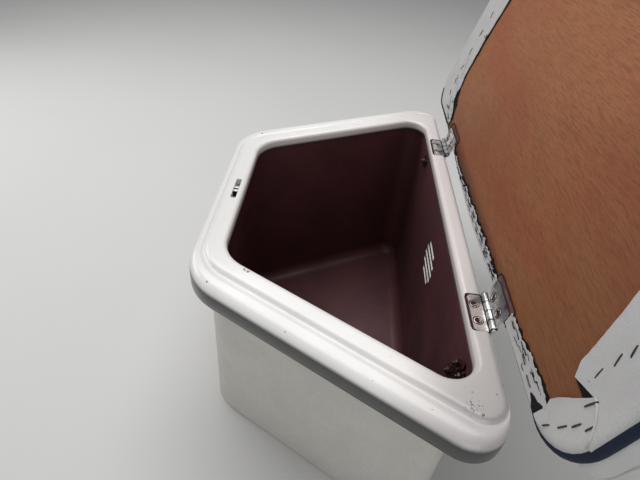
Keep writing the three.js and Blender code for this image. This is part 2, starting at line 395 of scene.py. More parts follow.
def finished(piece, body, finish=None, degrees=None):
    """Gives the piece its shading, its finish unless it has one, and its body."""
    if degrees is not None:
        smoothed(piece, degrees)
    if finish is not None:
        coated(piece, finish)
    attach(piece, body)
    return piece


# Shared effects

class Nodes:
    """A node tree, with short ways to add nodes. What goes into a node is a socket or a value."""

    def add(self, kind, inputs=(), **settings):
        """Adds a node, with its inputs by name or number, and gives its outputs."""
        node = self.tree.nodes.new("ShaderNode" + kind)
        for key, value in settings.items():
            setattr(node, key, value)
        for key, value in dict(inputs).items():
            socket = node.inputs[key]
            if isinstance(value, bpy.types.NodeSocket):
                self.tree.links.new(value, socket)
            else:
                socket.default_value = (*value[:3], 1.0) if socket.type == "RGBA" else value
        return node.outputs

    def place(self, scale=(1, 1, 1)):
        """The object's own coordinates, scaled."""
        return self.add("Mapping", {"Vector": self.add("TexCoord")["Object"], "Scale": scale})["Vector"]

    def clouds(self, place, scale, detail=2.0, roughness=0.5, distortion=0.0, output="Fac"):
        return self.add("TexNoise", {"Vector": place, "Scale": scale, "Detail": detail,
                                     "Roughness": roughness, "Distortion": distortion})[output]

    def calc(self, operation, *values, **settings):
        return self.add("Math", enumerate(values), operation=operation, **settings)["Value"]

    def calc_vector(self, operation, *values, output="Vector"):
        return self.add("VectorMath", enumerate(values), operation=operation)[output]

    def ranged(self, value, low, high, new_low=0.0, new_high=1.0, kind="LINEAR"):
        """The value taken from one range to another, and no further."""
        return self.add("MapRange", {"Value": value, "From Min": low, "From Max": high,
                                     "To Min": new_low, "To Max": new_high},
                        interpolation_type=kind)["Result"]

    def mixed(self, below, above, mask):
        """The colour above over the colour below, where the mask is."""
        return self.add("Mix", {"Factor": mask, "A": below, "B": above}, data_type="RGBA")["Result"]


class Effect(Nodes):
    """A node group that the finishes share."""

    def __init__(self, name, *outputs, **inputs):
        self.tree = bpy.data.node_groups.new(name, "ShaderNodeTree")
        new_socket = self.tree.interface.new_socket
        for label, value in inputs.items():
            kind = "Float" if isinstance(value, float) else "Vector" if len(value) == 3 else "Color"
            new_socket(label, in_out="INPUT", socket_type=f"NodeSocket{kind}").default_value = value
        for label in outputs:
            kind = "Color" if label == "Color" else "Float"
            new_socket(label, in_out="OUTPUT", socket_type=f"NodeSocket{kind}")
        self.given = self.tree.nodes.new("NodeGroupInput").outputs
        self.end = self.tree.nodes.new("NodeGroupOutput")

    def give(self, **results):
        for label, result in results.items():
            self.tree.links.new(result, self.end.inputs[label])
        return self.tree


def make_cloudy():
    """Soft patches of tone: a mask from 0 to 1."""
    cloudy = Effect("cloudy_patches", "Mask", Size=6.0, Softness=0.15, Middle=0.5)
    middle, softness = cloudy.given["Middle"], cloudy.given["Softness"]
    low, high = (cloudy.calc(operation, middle, softness) for operation in ("SUBTRACT", "ADD"))
    tone = cloudy.clouds(cloudy.place(), cloudy.given["Size"], 5.0, 0.55)
    return cloudy.give(Mask=cloudy.ranged(tone, low, high, kind="SMOOTHSTEP"))


def make_specks():
    """Scattered specks of dirt: a mask of small irregular spots."""
    specks = Effect("scattered_specks", "Mask", Size=120.0, Spot=0.2, Share=0.1)
    place = specks.place()
    shift = specks.calc_vector("MULTIPLY", specks.clouds(place, 400.0, output="Color"), (0.004,) * 3)
    cells = specks.add("TexVoronoi", {"Vector": specks.calc_vector("ADD", place, shift),
                                      "Scale": specks.given["Size"]})
    chance = specks.add("SeparateColor", {"Color": cells["Color"]})["Red"]
    spot = specks.calc("LESS_THAN", cells["Distance"], specks.given["Spot"])
    pick = specks.calc("LESS_THAN", chance, specks.given["Share"])
    return specks.give(Mask=specks.calc("MULTIPLY", spot, pick))


def make_pebble():
    """Embossed vinyl grain: small pebbles with creases between them."""
    pebble = Effect("vinyl_grain", "Height", "Shade", Size=700.0, Crease=0.5)
    place = pebble.place()
    cells = pebble.add("TexVoronoi", {"Vector": place, "Scale": pebble.given["Size"]},
                       feature="DISTANCE_TO_EDGE")
    crease = pebble.ranged(cells["Distance"], 0.0, pebble.given["Crease"])
    return pebble.give(Height=pebble.calc("ADD", crease, pebble.clouds(place, 90.0, 4.0)), Shade=crease)


def make_wood():
    """Rotary-cut ply veneer: long grain across the boat, fine pores and reddish bands."""
    wood = Effect("ply_veneer", "Color", "Height", Light=(0.2, 0.1, 0.05, 1),
                  Dark=(0.1, 0.05, 0.03, 1), Red=(0.25, 0.08, 0.05, 1), Pores=0.5)
    broad = wood.clouds(wood.place((7, 2.2, 7)), 1.6, 4.0, 0.5, 0.6)
    fine = wood.clouds(wood.place((170, 12, 170)), 4.0, 6.0, 0.62)
    pores = wood.ranged(wood.clouds(wood.place((1500, 150, 1500)), 1.0), 0.54, 0.70)
    tone = wood.mixed(wood.given["Light"], wood.given["Red"],
                      wood.ranged(broad, 0.38, 0.64, kind="SMOOTHSTEP"))
    for mask in (wood.ranged(fine, 0.43, 0.70, 0.0, 0.66),
                 wood.calc("MULTIPLY", pores, wood.given["Pores"])):
        tone = wood.mixed(tone, wood.given["Dark"], mask)
    return wood.give(Color=tone, Height=wood.calc("SUBTRACT", fine, pores))


def make_brushed():
    """Drawn metal: fine lines along one direction, with smudges."""
    drawn = Effect("drawn_metal", "Roughness", "Height", "Smudge", Lines=900.0, Low=0.12, High=0.4)
    smudge = drawn.clouds(drawn.place(), 60.0, 5.0)
    return drawn.give(
        Roughness=drawn.ranged(smudge, 0.35, 0.7, drawn.given["Low"], drawn.given["High"]),
        Height=drawn.clouds(drawn.place((1, 0.06, 1)), drawn.given["Lines"], 3.0), Smudge=smudge)


def make_level():
    """How far up or along an axis a point lies: 0 at From, 1 at To."""
    level = Effect("level", "Mask", Axis=(0, 0, 1), From=0.0, To=1.0)
    along = level.calc_vector("DOT_PRODUCT", level.place(), level.given["Axis"], output="Value")
    return level.give(Mask=level.ranged(along, level.given["From"], level.given["To"],
                                        kind="SMOOTHSTEP"))


def make_cluster(name, stretch, grain, texture, fade_from):
    """A cluster of small marks round one place: a mask. Their outline is stretched and so are they."""
    cluster = Effect(name, "Mask", Place=(0, 0, 0), Radius=0.01, Share=0.45)
    centre = cluster.calc_vector("MULTIPLY", cluster.given["Place"], stretch)
    apart = cluster.calc_vector("DISTANCE", cluster.place(stretch), centre, output="Value")
    near = cluster.calc("DIVIDE", apart, cluster.given["Radius"])
    marks = cluster.calc("ADD", cluster.clouds(cluster.place(grain), *texture),
                         cluster.ranged(near, fade_from, 1.0, 0.0, 0.35))
    return cluster.give(Mask=cluster.calc("LESS_THAN", marks, cluster.given["Share"]))


def make_hinge_gap_shade():
    """Painted shade: the dark gaps between a hinge's knuckles, and the creases beside them: a mask."""
    gaps = Effect("hinge_gaps", "Mask", Knuckle=0.0036, Crease=0.0047, Gap=0.0006)
    apart = gaps.calc_vector("SUBTRACT", gaps.place(), HINGE_LINE)
    reach = gaps.calc_vector("LENGTH", gaps.calc_vector("MULTIPLY", apart, (1, 0, 1)), output="Value")
    along = gaps.calc("ABSOLUTE", gaps.add("SeparateXYZ", {0: apart})["Y"])
    from_end = gaps.calc("SUBTRACT", along, (HINGE_Y - HINGE_LENGTH / 2) * MM)
    joint = gaps.calc("PINGPONG", from_end, HINGE_LENGTH / 8 * MM)
    narrow = gaps.calc("LESS_THAN", joint, gaps.given["Gap"])
    knuckle, near = (gaps.calc("LESS_THAN", reach, gaps.given[name]) for name in ("Knuckle", "Crease"))
    return gaps.give(Mask=gaps.calc("ADD", gaps.calc("MULTIPLY", narrow, knuckle),
                                    gaps.calc("SUBTRACT", near, knuckle), use_clamp=True))


GROUPS = {}


def build_groups():
    GROUPS.update(
        cloudy=make_cloudy(), specks=make_specks(), pebble=make_pebble(), wood=make_wood(),
        brushed=make_brushed(), level=make_level(), hinge_gaps=make_hinge_gap_shade(),
        chips=make_cluster("chip_cluster", (1, 1, 1), (1, 0.7, 1), (520.0, 3.0, 0.6), 0.2),
        slits=make_cluster("slit_cluster", (1.5, 0.55, 1), (1, 0.13, 1), (260.0, 2.0, 0.5, 0.4), 0.3))


# Finishes

def darker(tint, share):
    return tuple(v * share for v in tint)


class Finish(Nodes):
    """One Principled material, its colour laid on in layers."""

    def __init__(self, name, tint, **constants):
        self.material = bpy.data.materials.new(name)
        self.material.use_nodes = True
        self.tree = self.material.node_tree
        self.shader = self.tree.nodes["Principled BSDF"]
        self.tint = tint
        for key, value in constants.items():
            self.shader.inputs[key.replace("_", " ")].default_value = value

    def group(self, effect, **values):
        """The outputs of a shared effect."""
        return self.add("Group", values, node_tree=GROUPS[effect])

    def over(self, tint, mask, share=1.0):
        """Lays a colour over what is there, where the mask is."""
        if share != 1.0:
            mask = self.calc("MULTIPLY", mask, share)
        self.tint = self.mixed(self.tint, tint, mask)

    def layer(self, tint, share, effect, output="Mask", **values):
        """Lays a colour over what is there, where an effect is, and gives the effect's outputs."""
        outputs = self.group(effect, **values)
        self.over(tint, outputs[output], share)
        return outputs

    def cloudy(self, tint, size, softness, share=1.0):
        """Lays on soft patches of another tone, and gives their mask."""
        return self.layer(tint, share, "cloudy", Size=size, Softness=softness)["Mask"]

    def specks(self, tint, share, size, spot, count):
        """Scatters specks of a colour: count is the share of cells that hold one."""
        self.layer(tint, share, "specks", Size=size, Spot=spot, Share=count)

    def done(self, rough=None, bump=None):
        """Links the colour, the roughness (value, least, most) and the bump (height, depth, strength)."""
        links = {"Base Color": self.tint}
        if rough:
            links["Roughness"] = self.ranged(rough[0], 0, 1, *rough[1:])
        if bump:
            height, depth, strength = bump
            links["Normal"] = self.add("Bump", {"Height": height, "Distance": depth,
                                                "Strength": strength})["Normal"]
        for key, socket in links.items():
            self.tree.links.new(socket, self.shader.inputs[key])
        return self.material


FINISHES = {}

# Chipped and scuffed spots in the gelcoat: where, how wide, and the share of them that shows
CHIPS = (((95, 151, 300), 7, 0.50), ((92, 173, 299), 3, 0.6), ((131, 170, 296), 3, 0.55),
         ((115, 163, 297), 3, 0.5), ((-129, 285, 300), 22, 0.42), ((-126, 288, 300), 3, 0.58),
         ((-134, 293, 300), 3, 0.6), ((-137, 297, 300), 10, 0.44), ((-129, 272, 300), 4, 0.52),
         ((-123, 266, 299), 3, 0.52), ((-151, 271, 300), 3, 0.5), ((-143, 301, 300), 4, 0.52),
         ((91, 153, 300), 4, 0.58), ((127, -162, 297), 4, 0.54),
         ((123, -165, 297), 3, 0.56), ((-92, 291, 297), 4, 0.48))

GELCOAT_CHIP = (0.055, 0.050, 0.047)

# Painted shading of the gelcoat along an axis: a pink painted reflection and painted shade aft, greyer
# forward, painted shade at the aft port corner. Colour, share, axis, and where it starts and is full
GELCOAT_PAINTED_SHADING = (((0.57, 0.505, 0.49), 0.75, (-1, 0, 0), 0.02, 0.17),
                 ((0.60, 0.59, 0.575), 0.6, (1, 0, 0), 0.08, 0.17),
                 ((0.38, 0.37, 0.365), 0.82, (-0.42, 0.91, 0), 0.26, 0.37))


def gelcoat(looks):
    finish = Finish("white_gelcoat", looks.gelcoat, Coat_Weight=0.3, Coat_Roughness=0.12)
    cloud = finish.cloudy(darker(looks.gelcoat, 0.95), 9.0, 0.2)
    # Lays on the painted shading and reflection listed above
    for tone, share, axis, start, full in GELCOAT_PAINTED_SHADING:
        finish.layer(tone, share, "level", Axis=axis, From=start, To=full)
    # Painted shade on the plateau at the aft port corner
    aft_port_shade = finish.group("level", Axis=(-0.9, 0.42, 0), From=0.165, To=0.232)["Mask"]
    top = finish.group("level", Axis=(0, 0, 1), From=0.2968, To=0.2990)["Mask"]
    finish.over((0.27, 0.262, 0.255), finish.calc("MULTIPLY", aft_port_shade, top), 0.5)
    finish.layer((0.42, 0.38, 0.35), 0.08, "cloudy", Size=38.0, Softness=0.12, Middle=0.62)
    # Painted shadow: the skirt below the band darkens to near black
    finish.layer((0.030, 0.029, 0.029), 0.96, "level", Axis=(0, 0, -1), From=-0.2912, To=-0.2862)
    finish.specks((0.10, 0.09, 0.085), 0.8, 70.0, 0.10, 0.035)
    for place, size, share in CHIPS:
        finish.layer(GELCOAT_CHIP, 0.85, "chips", Place=tuple(v * MM for v in place), Radius=size * MM,
                     Share=share)
    return finish.done((cloud, 0.28, 0.38), (cloud, 0.0003, 0.3))


def inside_paint(looks):
    finish = Finish("maroon_inside_paint", looks.inside, Specular_IOR_Level=0.4)
    cloud = finish.cloudy(darker(looks.inside, 0.65), 12.0, 0.2)
    finish.specks((0.16, 0.12, 0.12), 0.6, 150.0, 0.16, 0.09)
    peel = finish.group("cloudy", Size=160.0, Softness=0.4)["Mask"]
    return finish.done((cloud, 0.42, 0.62), (peel, 0.0004, 0.5))


def raw_laminate():
    finish = Finish("pale_laminate_outside", (0.60, 0.58, 0.54), Specular_IOR_Level=0.35)
    cloud = finish.cloudy((0.56, 0.54, 0.50), 24.0, 0.25)
    strands = finish.layer((0.42, 0.40, 0.36), 0.18, "pebble", "Shade", Size=160.0, Crease=0.35)
    return finish.done((cloud, 0.5, 0.7), (strands["Height"], 0.0006, 0.5))


def plastic(name, tint):
    finish = Finish(name, tint, Specular_IOR_Level=0.45)
    cloud = finish.cloudy(darker(tint, 0.82), 60.0, 0.3)
    finish.specks(darker(tint, 0.4), 0.6, 240.0, 0.2, 0.05)
    return finish.done((cloud, 0.35, 0.5), (cloud, 0.0002, 0.4))


def steel(looks):
    finish = Finish("polished_steel", looks.steel, Metallic=0.8)
    lines = finish.group("brushed", Lines=900.0, Low=0.12, High=0.30)
    finish.over(darker(looks.steel, 0.22), finish.ranged(lines["Smudge"], 0.47, 0.66))
    # Painted shade in the knuckle gaps and in the creases beside the barrel
    finish.layer((0.012, 0.011, 0.011), 0.95, "hinge_gaps", Knuckle=0.00345, Crease=0.0046, Gap=0.0008)
    return finish.done((lines["Roughness"], 0, 1), (lines["Height"], 0.00008, 0.4))


def dull_staple_steel():
    finish = Finish("dull_staple_steel", (0.030, 0.027, 0.025), Metallic=0.9)
    lines = finish.layer((0.11, 0.093, 0.078), 1.0, "brushed", "Smudge", Lines=1400.0, Low=0.3, High=0.55)
    return finish.done((lines["Roughness"], 0, 1))


# Dark sealant for the lumps in the well, and painted shade in the screw recesses, knuckle ends, leaf gaps
# and recess outlines
def dark_sealant():
    finish = Finish("dark_sealant", (0.014, 0.008, 0.009), Specular_IOR_Level=0.15)
    cloud = finish.cloudy((0.065, 0.014, 0.013), 300.0, 0.3)
    return finish.done((cloud, 0.5, 0.8), (cloud, 0.0005, 0.6))


def veneer(looks):
    """Varnished plywood: darker and redder to port, and darker along the hinge edge with soiling and
    painted shade.
    """
    finish = Finish("varnished_ply", None, Specular_IOR_Level=0.25)
    wood = finish.group("wood", Light=looks.ply, Dark=darker(looks.ply, 0.42), Red=looks.ply_red,
                        Pores=0.62)
    finish.tint = wood["Color"]
    stain = finish.layer(darker(looks.ply, 0.7), 0.3, "cloudy", Size=7.0, Softness=0.22, Middle=0.55)
    # Darker and redder towards port
    finish.layer((0.120, 0.044, 0.018), 0.52, "level", Axis=(0, 1, 0), From=0.10, To=0.33)
    # Soiling and painted shade along the hinge edge, where the cover's strip meets the ply
    hinge_side = -HINGE_LINE.dot(ALONG)
    finish.layer((0.055, 0.017, 0.010), 0.68, "level", Axis=tuple(-ALONG), From=hinge_side - 0.038,
                 To=hinge_side - 0.020)
    return finish.done((stain["Mask"], 0.5, 0.66), (wood["Height"], 0.0003, 0.5))


def routed_ply():
    # A darker copy of the ply: painted shade of the routed recess wall
    finish = Finish("routed_ply_edge", None, Specular_IOR_Level=0.05)
    wood = finish.group("wood", Light=(0.165, 0.105, 0.092), Dark=(0.036, 0.019, 0.018),
                        Red=(0.115, 0.048, 0.045), Pores=0.8)
    finish.tint = wood["Color"]
    return finish.done((wood["Height"], 0.6, 0.8), (wood["Height"], 0.0004, 0.6))


# Dark tears in the vinyl along the hinge edge: distance from the axis, distance to port, radius
TEARS = ((15.5, -128, 8), (13.5, -98, 6), (12.5, -66, 8), (16.0, -33, 6), (13.5, 2, 9), (17.5, 26, 6),
         (15.0, 52, 7), (19.0, 74, 8), (17.0, 96, 6), (21.0, 118, 7), (18.5, 139, 8), (27.5, 212, 9),
         (22.0, 224, 6), (30.0, 243, 9), (32.0, 268, 8), (22.0, 256, 6), (27, -206, 9), (31, -228, 9),
         (22, -220, 8), (36, -244, 10), (46, -256, 9), (28, -252, 8), (62, -262, 8), (96, -268, 9),
         (150, -270, 8), (47, -288, 6), (112, -296, 7))


def vinyl(name, tint, dirt=0.35, shine=0.4, tears=()):
    """Embossed vinyl: cloudy, with dark creases, specks of dirt and tears."""
    finish = Finish(name, tint, Specular_IOR_Level=shine)
    cloud = finish.cloudy(darker(tint, 0.78), 26.0, 0.2, dirt * 2)
    grain = finish.group("pebble", Size=800.0, Crease=0.35)
    finish.tint = finish.mixed(darker(tint, 0.82), finish.tint, grain["Shade"])
    finish.specks(darker(tint, 0.45), dirt, 220.0, 0.2, 0.02)
    for a, y, size in tears:
        finish.layer((0.014, 0.012, 0.012), 0.95, "slits", Place=tuple(on_lid(a, y, 1.7)),
                     Radius=size * MM, Share=0.45)
    return finish.done((cloud, 0.45, 0.62), (grain["Height"], 0.00025, 0.6))


# Dark cloth under the cover, also used for painted shadow along the flaps' edges and in the latch slot
def backing_cloth():
    finish = Finish("dark_backing_cloth", (0.006, 0.005, 0.006), Specular_IOR_Level=0.1)
    weave = finish.layer((0.024, 0.022, 0.022), 1.0, "pebble", "Shade", Size=1100.0, Crease=0.3)
    return finish.done((weave["Shade"], 0.8, 0.95), (weave["Height"], 0.0003, 0.7))


def build_finishes():
    looks = bpy.context.scene.locker_looks
    FINISHES.update(
        gelcoat=gelcoat(looks),
        inside=inside_paint(looks),
        laminate=raw_laminate(),
        white_plastic=plastic("white_plastic", (0.84, 0.83, 0.81)),
        maroon_plastic=plastic("maroon_plastic", darker(looks.inside, 0.8)),
        steel=steel(looks),
        staple=dull_staple_steel(),
        sealant=dark_sealant(),
        routed=routed_ply(),
        ply=veneer(looks),
        grey_vinyl=vinyl("grey_vinyl", looks.vinyl),
        flap_vinyl=vinyl("pale_flap_vinyl", looks.flap, dirt=0.5),
        torn_vinyl=vinyl("torn_hinge_edge_vinyl", looks.flap, dirt=0.5, tears=TEARS),
        navy_vinyl=vinyl("navy_vinyl", looks.navy, dirt=0.3, shine=0.18),
        backing=backing_cloth(),
    )


# Settings

def distance(name, description, default):
    return FloatProperty(name=name, description=description, default=default,
                         unit="LENGTH", subtype="DISTANCE", min=0.0)


def tint(name, description, default):
    return FloatVectorProperty(name=name, description=description, default=default,
                               subtype="COLOR", size=3, min=0.0, max=1.0)


def power(name, description, default):
    return FloatProperty(name=name, description=description, default=default, min=0, unit="POWER")


class LockerLooks(bpy.types.PropertyGroup):
    """Colours of the locker's finishes."""
    gelcoat: tint("Gelcoat", "Colour of the moulded coaming", (0.80, 0.785, 0.765))
    inside: tint("Inside paint", "Colour inside the well", (0.105, 0.036, 0.040))
    steel: tint("Steel", "Colour of the hinges, screws and staples", (0.72, 0.71, 0.70))
    ply: tint("Plywood", "Colour of the lid's board", (0.340, 0.134, 0.056))
    ply_red: tint("Plywood bands", "Colour of the board's redder bands", (0.330, 0.101, 0.046))
    # The cushion's vinyl and the flaps' vinyl are one cover; the cushion's is set lighter as painted light,
    # making up for its shade
    vinyl: tint("Cushion vinyl", "Colour of the cushion's cover", (0.66, 0.66, 0.65))
    flap: tint("Flap vinyl", "Colour of the cover's turned-under edge", (0.53, 0.52, 0.515))
    navy: tint("Navy vinyl", "Colour of the band round the lid's edge", (0.012, 0.018, 0.042))


class LockerSizes(bpy.types.PropertyGroup):
    """Sizes of the locker's details."""
    edge: distance("Hardware edge", "How far the edges of the metal and plastic parts are eased", 0.0003)
    screw: distance("Screw radius", "Radius of a hinge screw's head", 0.0028)
    staple: distance("Staple length", "Length of a staple's crown", 0.011)
    staple_wire: distance("Staple wire", "Radius of a staple's wire", 0.00065)
    flap: distance("Flap thickness", "Thickness of the turned-under vinyl", 0.001)
    bulge: distance("Band bulge", "How far the navy band stands out round the board", 0.0062)
    puff: distance("Cushion puff", "How far the cloth's pressure may swell the cushion", 0.009)
    voxel: distance("Cushion mesh", "Mesh size that the cushion is swelled at", 0.006)


class LockerStage(bpy.types.PropertyGroup):
    """Floor, light and camera."""
    floor: tint("Floor", "Colour of the floor", (0.58, 0.575, 0.56))
    sky: FloatProperty(name="Sky", description="Strength of the light from all round", default=0.28, min=0)
    overhead: power("Overhead light", "Power of the large soft light above", 36.8)
    forward: power("Forward light", "Power of the soft light from the bow", 9.0)
    port: power("Port light", "Power of the soft light from the port side", 7.5)
    lens: FloatProperty(name="Lens", description="Focal length of the camera", default=27.03, min=1,
                        unit="CAMERA")


# Operators

class Making:
    """What every operator here shares."""
    bl_options = {"REGISTER", "UNDO"}

    def execute(self, context):
        self.make(context.scene.locker_sizes)
        return {"FINISHED"}


class LOCKER_OT_stage(Making, bpy.types.Operator):
    """Set up the floor, the soft light and the camera"""
    bl_idname = "locker.stage"
    bl_label = "Stage"

    # Where the camera stands, and the directions of its picture's right side and lower side
    CAMERA = (0.01785, 0.5199, 0.6591)
    RIGHT, DOWN = Vector((-0.994, -0.071, 0.084)), Vector((-0.110, 0.635, -0.765))
    SENSOR_WIDTH = 36

    # Each soft light: its setting, place, target and width
    LIGHTS = (("overhead", (0.22, -0.6, 2.15), (0, 0, 0.3), 1.8),
              ("forward", (1.5, -0.5, 0.95), (-0.1, 0, 0.4), 1.0),
              ("port", (-0.25, 1.9, 0.75), (-0.1, 0.3, 0.3), 1.2))

    def make(self, sizes):
        context, down = bpy.context, self.DOWN
        look = context.scene.locker_stage
        clear_selection()
        bpy.ops.object.camera_add(location=self.CAMERA)
        camera = context.active_object
        camera.name = "camera"
        back = self.RIGHT.cross(-down).normalized()
        right = (-down).cross(back).normalized()
        camera.matrix_world = Matrix.Translation(camera.location) @ Matrix(
            (right, back.cross(right), back)).transposed().to_4x4()
        camera.data.lens = look.lens
        camera.data.sensor_width = self.SENSOR_WIDTH
        camera.data.clip_start = 0.01
        context.scene.camera = camera

        clear_selection()
        bpy.ops.mesh.primitive_plane_add(size=8)
        floor = named(context.active_object, "floor")
        finish = Finish("pale_floor", look.floor, Roughness=0.85)
        finish.cloudy(darker(look.floor, 0.96), 2.0, 0.4)
        floor.data.materials.append(finish.done())

        world = context.scene.world = bpy.data.worlds.new("soft_sky")
        world.use_nodes = True
        sky = world.node_tree.nodes["Background"]
        sky.inputs["Color"].default_value = (0.95, 0.97, 1.0, 1)
        sky.inputs["Strength"].default_value = look.sky

        for name, place, target, width in self.LIGHTS:
            clear_selection()
            bpy.ops.object.light_add(type="AREA", location=place)
            light = context.active_object
            light.name = f"{name}_light"
            light.data.size = width
            light.data.energy = getattr(look, name)
            aim = Vector(target) - Vector(place)
            light.rotation_euler = aim.to_track_quat("-Z", "Y").to_euler()
        context.scene.view_settings.view_transform = "Standard"


class LOCKER_OT_coaming(Making, bpy.types.Operator):
    """Model the coaming: rolled outer band, raised plateau, turned-down lip, hinge pockets and slot"""
    bl_idname = "locker.coaming"
    bl_label = "Coaming"

    # The outer band's section: how far in towards the plateau, and the height
    BAND = ((0.01, 285.5), (0.035, 288), (0.075, 290.2), (0.13, 292.2), (0.20, 293.9), (0.28, 295.2),
            (0.37, 296.1), (0.47, 296.6), (0.57, 296.9), (0.66, 297.0), (0.73, 296.9), (0.79, 296.5),
            (0.85, 295.9), (0.90, 295.5), (0.95, 295.6), (1.0, 296.4))

    # The plateau's shoulder, then the lip: how far out from the inner edge, and the height
    SHOULDER = ((0.9, 297.6), (1.9, 298.7), (3.0, 299.45), (4.4, 299.85), (6, 300))
    LIP = ((7, 300), (5.0, 299.95), (3.4, 299.6), (2.0, 298.9), (1.0, 297.9), (0.3, 296.5), (0, 295),
           (0, 291), (0, 287), (0.3, 285), (1.0, 284.2), (2.0, 284), (4.0, 284), (4.8, 284.5), (5, 286),
           (5, 290))

    def make(self, sizes):
        plateau, lip = grown(PLATEAU, -6), grown(OPENING, 7)
        sections = [(grown(OUTER, -3), 270), (grown(OUTER, -0.6), 270), (OUTER, 270.8), (OUTER, 278),
                    (OUTER, 283)]
        sections += [(between(OUTER, PLATEAU, f), z) for f, z in self.BAND]
        sections += [(grown(PLATEAU, -by), z) for by, z in self.SHOULDER]
        sections += [(between(plateau, lip, f), TOP) for f in (0.33, 0.66)]
        sections += [(grown(OPENING, by), z) for by, z in self.LIP]
        sections += [(grown(OUTER, -5), 290), (grown(OUTER, -5), 276), (grown(OUTER, -4.6), 270.6)]
        moulding = plan_piece("coaming_moulding", sections, "joined")
        half = HINGE_LENGTH / 2 + POCKET["spare"]
        cutters = [((AFT_X - 12, side * HINGE_Y - half, TOP - POCKET["depth"]),
                    (AFT_X + POCKET["reach"] + POCKET["gap"], side * HINGE_Y + half, TOP + 9), 0.003)
                   for side in (1, -1)]
        cutters.append(((SLOT["x"] - SLOT["width"] / 2, -SLOT["length"] / 2, TOP - 20),
                        (SLOT["x"] + SLOT["width"] / 2, SLOT["length"] / 2, TOP + 10), 0.002))
        cut(moulding, *[block("cutter", mm(*low), mm(*high), bevel)
                        for low, high, bevel in cutters])
        modified(moulding, "BEVEL", width=0.0010, segments=3, limit_method="ANGLE",
                 angle_limit=math.radians(50))
        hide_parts("coaming")
        finished(moulding, "locker", "gelcoat", 40)


class LOCKER_OT_well(Making, bpy.types.Operator):
    """Model the well: painted inside with rounded floor edges, bare laminate outside"""
    bl_idname = "locker.well"
    bl_label = "Well"

    FLOOR_RADIUS = 18

    def make(self, sizes):
        outer, rebate, radius = grown(WELL, WALL), grown(OPENING, 5.3), self.FLOOR_RADIUS
        sections = [(grown(outer, -14), 0), (grown(outer, -4), 0), (grown(outer, -1.2), 1.2), (outer, 4),
                    (outer, 150), (outer, 289), (grown(outer, -0.7), 289.7), (rebate, 289.7),
                    (rebate, 283.7)]
        sections += [(WELL, z) for z in (283.7, 282, 200, 100, FLOOR + radius)]
        sections += [(grown(WELL, -radius * (1 - math.cos(t))), FLOOR + radius - radius * math.sin(t))
                     for t in map(math.radians, (18, 36, 54, 72, 90))]
        sections.append((grown(WELL, -radius - 1), FLOOR))
        well = plan_piece("well_moulding", sections, "capped")
        vent_place = mm(AFT_X + WELL[0] - WALL / 2, 0, VENT_Z)
        cut(well, cylinder(VENT_HOLE_RADIUS * MM, 0.02, 64, vent_place, (0, math.pi / 2, 0)))

        def inside(face):
            middle = face.center / MM
            inwards = -(face.normal.x * middle.x + face.normal.y * middle.y)
            return 7 < middle.z < 283.9 and (inwards > 1 or face.normal.z > 0.3)

        coated(well, "laminate", "inside", inside)
        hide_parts("well")
        finished(well, "locker", degrees=35)


class LOCKER_OT_vent(Making, bpy.types.Operator):
    """Model the round slotted vent in the aft wall"""
    bl_idname = "locker.vent"
    bl_label = "Vent"

    def make(self, sizes):
        vent = softened("vent", "vent_grille", 0.0006)
        coated(vent, "white_plastic", "maroon_plastic",
               lambda face: face.center.x / MM > AFT_X + WELL[0] - 2.5)
        finished(vent, "locker")


class LOCKER_OT_latch_keeper(Making, bpy.types.Operator):
    """Finish the keeper under the latch slot"""
    bl_idname = "locker.latch_keeper"
    bl_label = "Latch keeper"

    def make(self, sizes):
        keeper = softened("latch_keeper", "latch_keeper_web", 0.0008)
        top = max(vert.co.z for vert in keeper.data.vertices)
        # Its lower faces are painted near black: painted shade inside the slot
        coated(keeper, "white_plastic", "backing", lambda face: face.center.z <= top - 0.0025)
        finished(keeper, "locker")


def turned(name, radius, profile, ends):
    """A round piece about Z, from a profile of shares of a radius and heights."""
    across, up = Vector((1, 0, 0)), Vector((0, 1, 0))
    rings = [circle(Vector((0, 0, z)), across, up, radius * share, 36) for share, z in profile]
    return ring_piece(name, rings, ends)


def hinge_screw(radius):
    """One screw about the origin, facing +Z: domed head with a cross recess painted dark as shade, sunk in
    a raised ring with a ring of painted shadow round it.
    """
    head = named(cylinder(radius, 0.0010, 36), "screw_head")
    bpy.ops.object.mode_set(mode="EDIT")
    form = bmesh.from_edit_mesh(head.data)
    for face in form.faces:
        face.select = face.normal.z > 0.9
    form.select_flush_mode()
    bmesh.update_edit_mesh(head.data)
    for share, rise in ((0.10, 0.00016), (0.22, 0.00014), (0.20, 0.00006)):
        bpy.ops.mesh.inset(thickness=radius * share)
        bpy.ops.transform.translate(value=(0, 0, rise))
    bpy.ops.object.mode_set(mode="OBJECT")
    arm, wide = radius * 0.56, radius * 0.17
    middle = cylinder(radius * 0.52, 0.003, 20, (0, 0, 0.0014))
    cut(head, block("cutter", (-arm, -wide, -0.0001), (arm, wide, 0.003), 0.0001, 1),
        block("cutter", (-wide, -arm, -0.0001), (wide, arm, 0.003), 0.0001, 1), middle)
    # The middle of the head is painted dark: painted shade in the recess
    coated(head, "steel", "sealant",
           lambda face: math.hypot(face.center.x, face.center.y) < radius * 0.55)
    ring = turned("screw_ring", radius, ((1.62, -0.0005), (1.61, 0.00010), (1.55, 0.00026),
                                         (1.46, 0.00030), (1.37, 0.00016), (1.34, -0.0005)), "joined")
    # A ring of painted shadow round the head and the raised ring
    shadow = turned("screw_shadow", radius, ((2.02, -0.0005), (2.00, 0.00008), (1.50, 0.00008),
                                             (1.02, 0.00007), (0.6, -0.0003)), "capped")
    # A dark disc in the recess: painted shade
    recess_shade = cylinder(radius * 0.66, 0.0003, 24, (0, 0, -0.0001))
    parts = [head, coated(ring, "steel"), coated(shadow, "sealant"), coated(recess_shade, "sealant")]
    return smoothed(joined("screw", parts), 40)


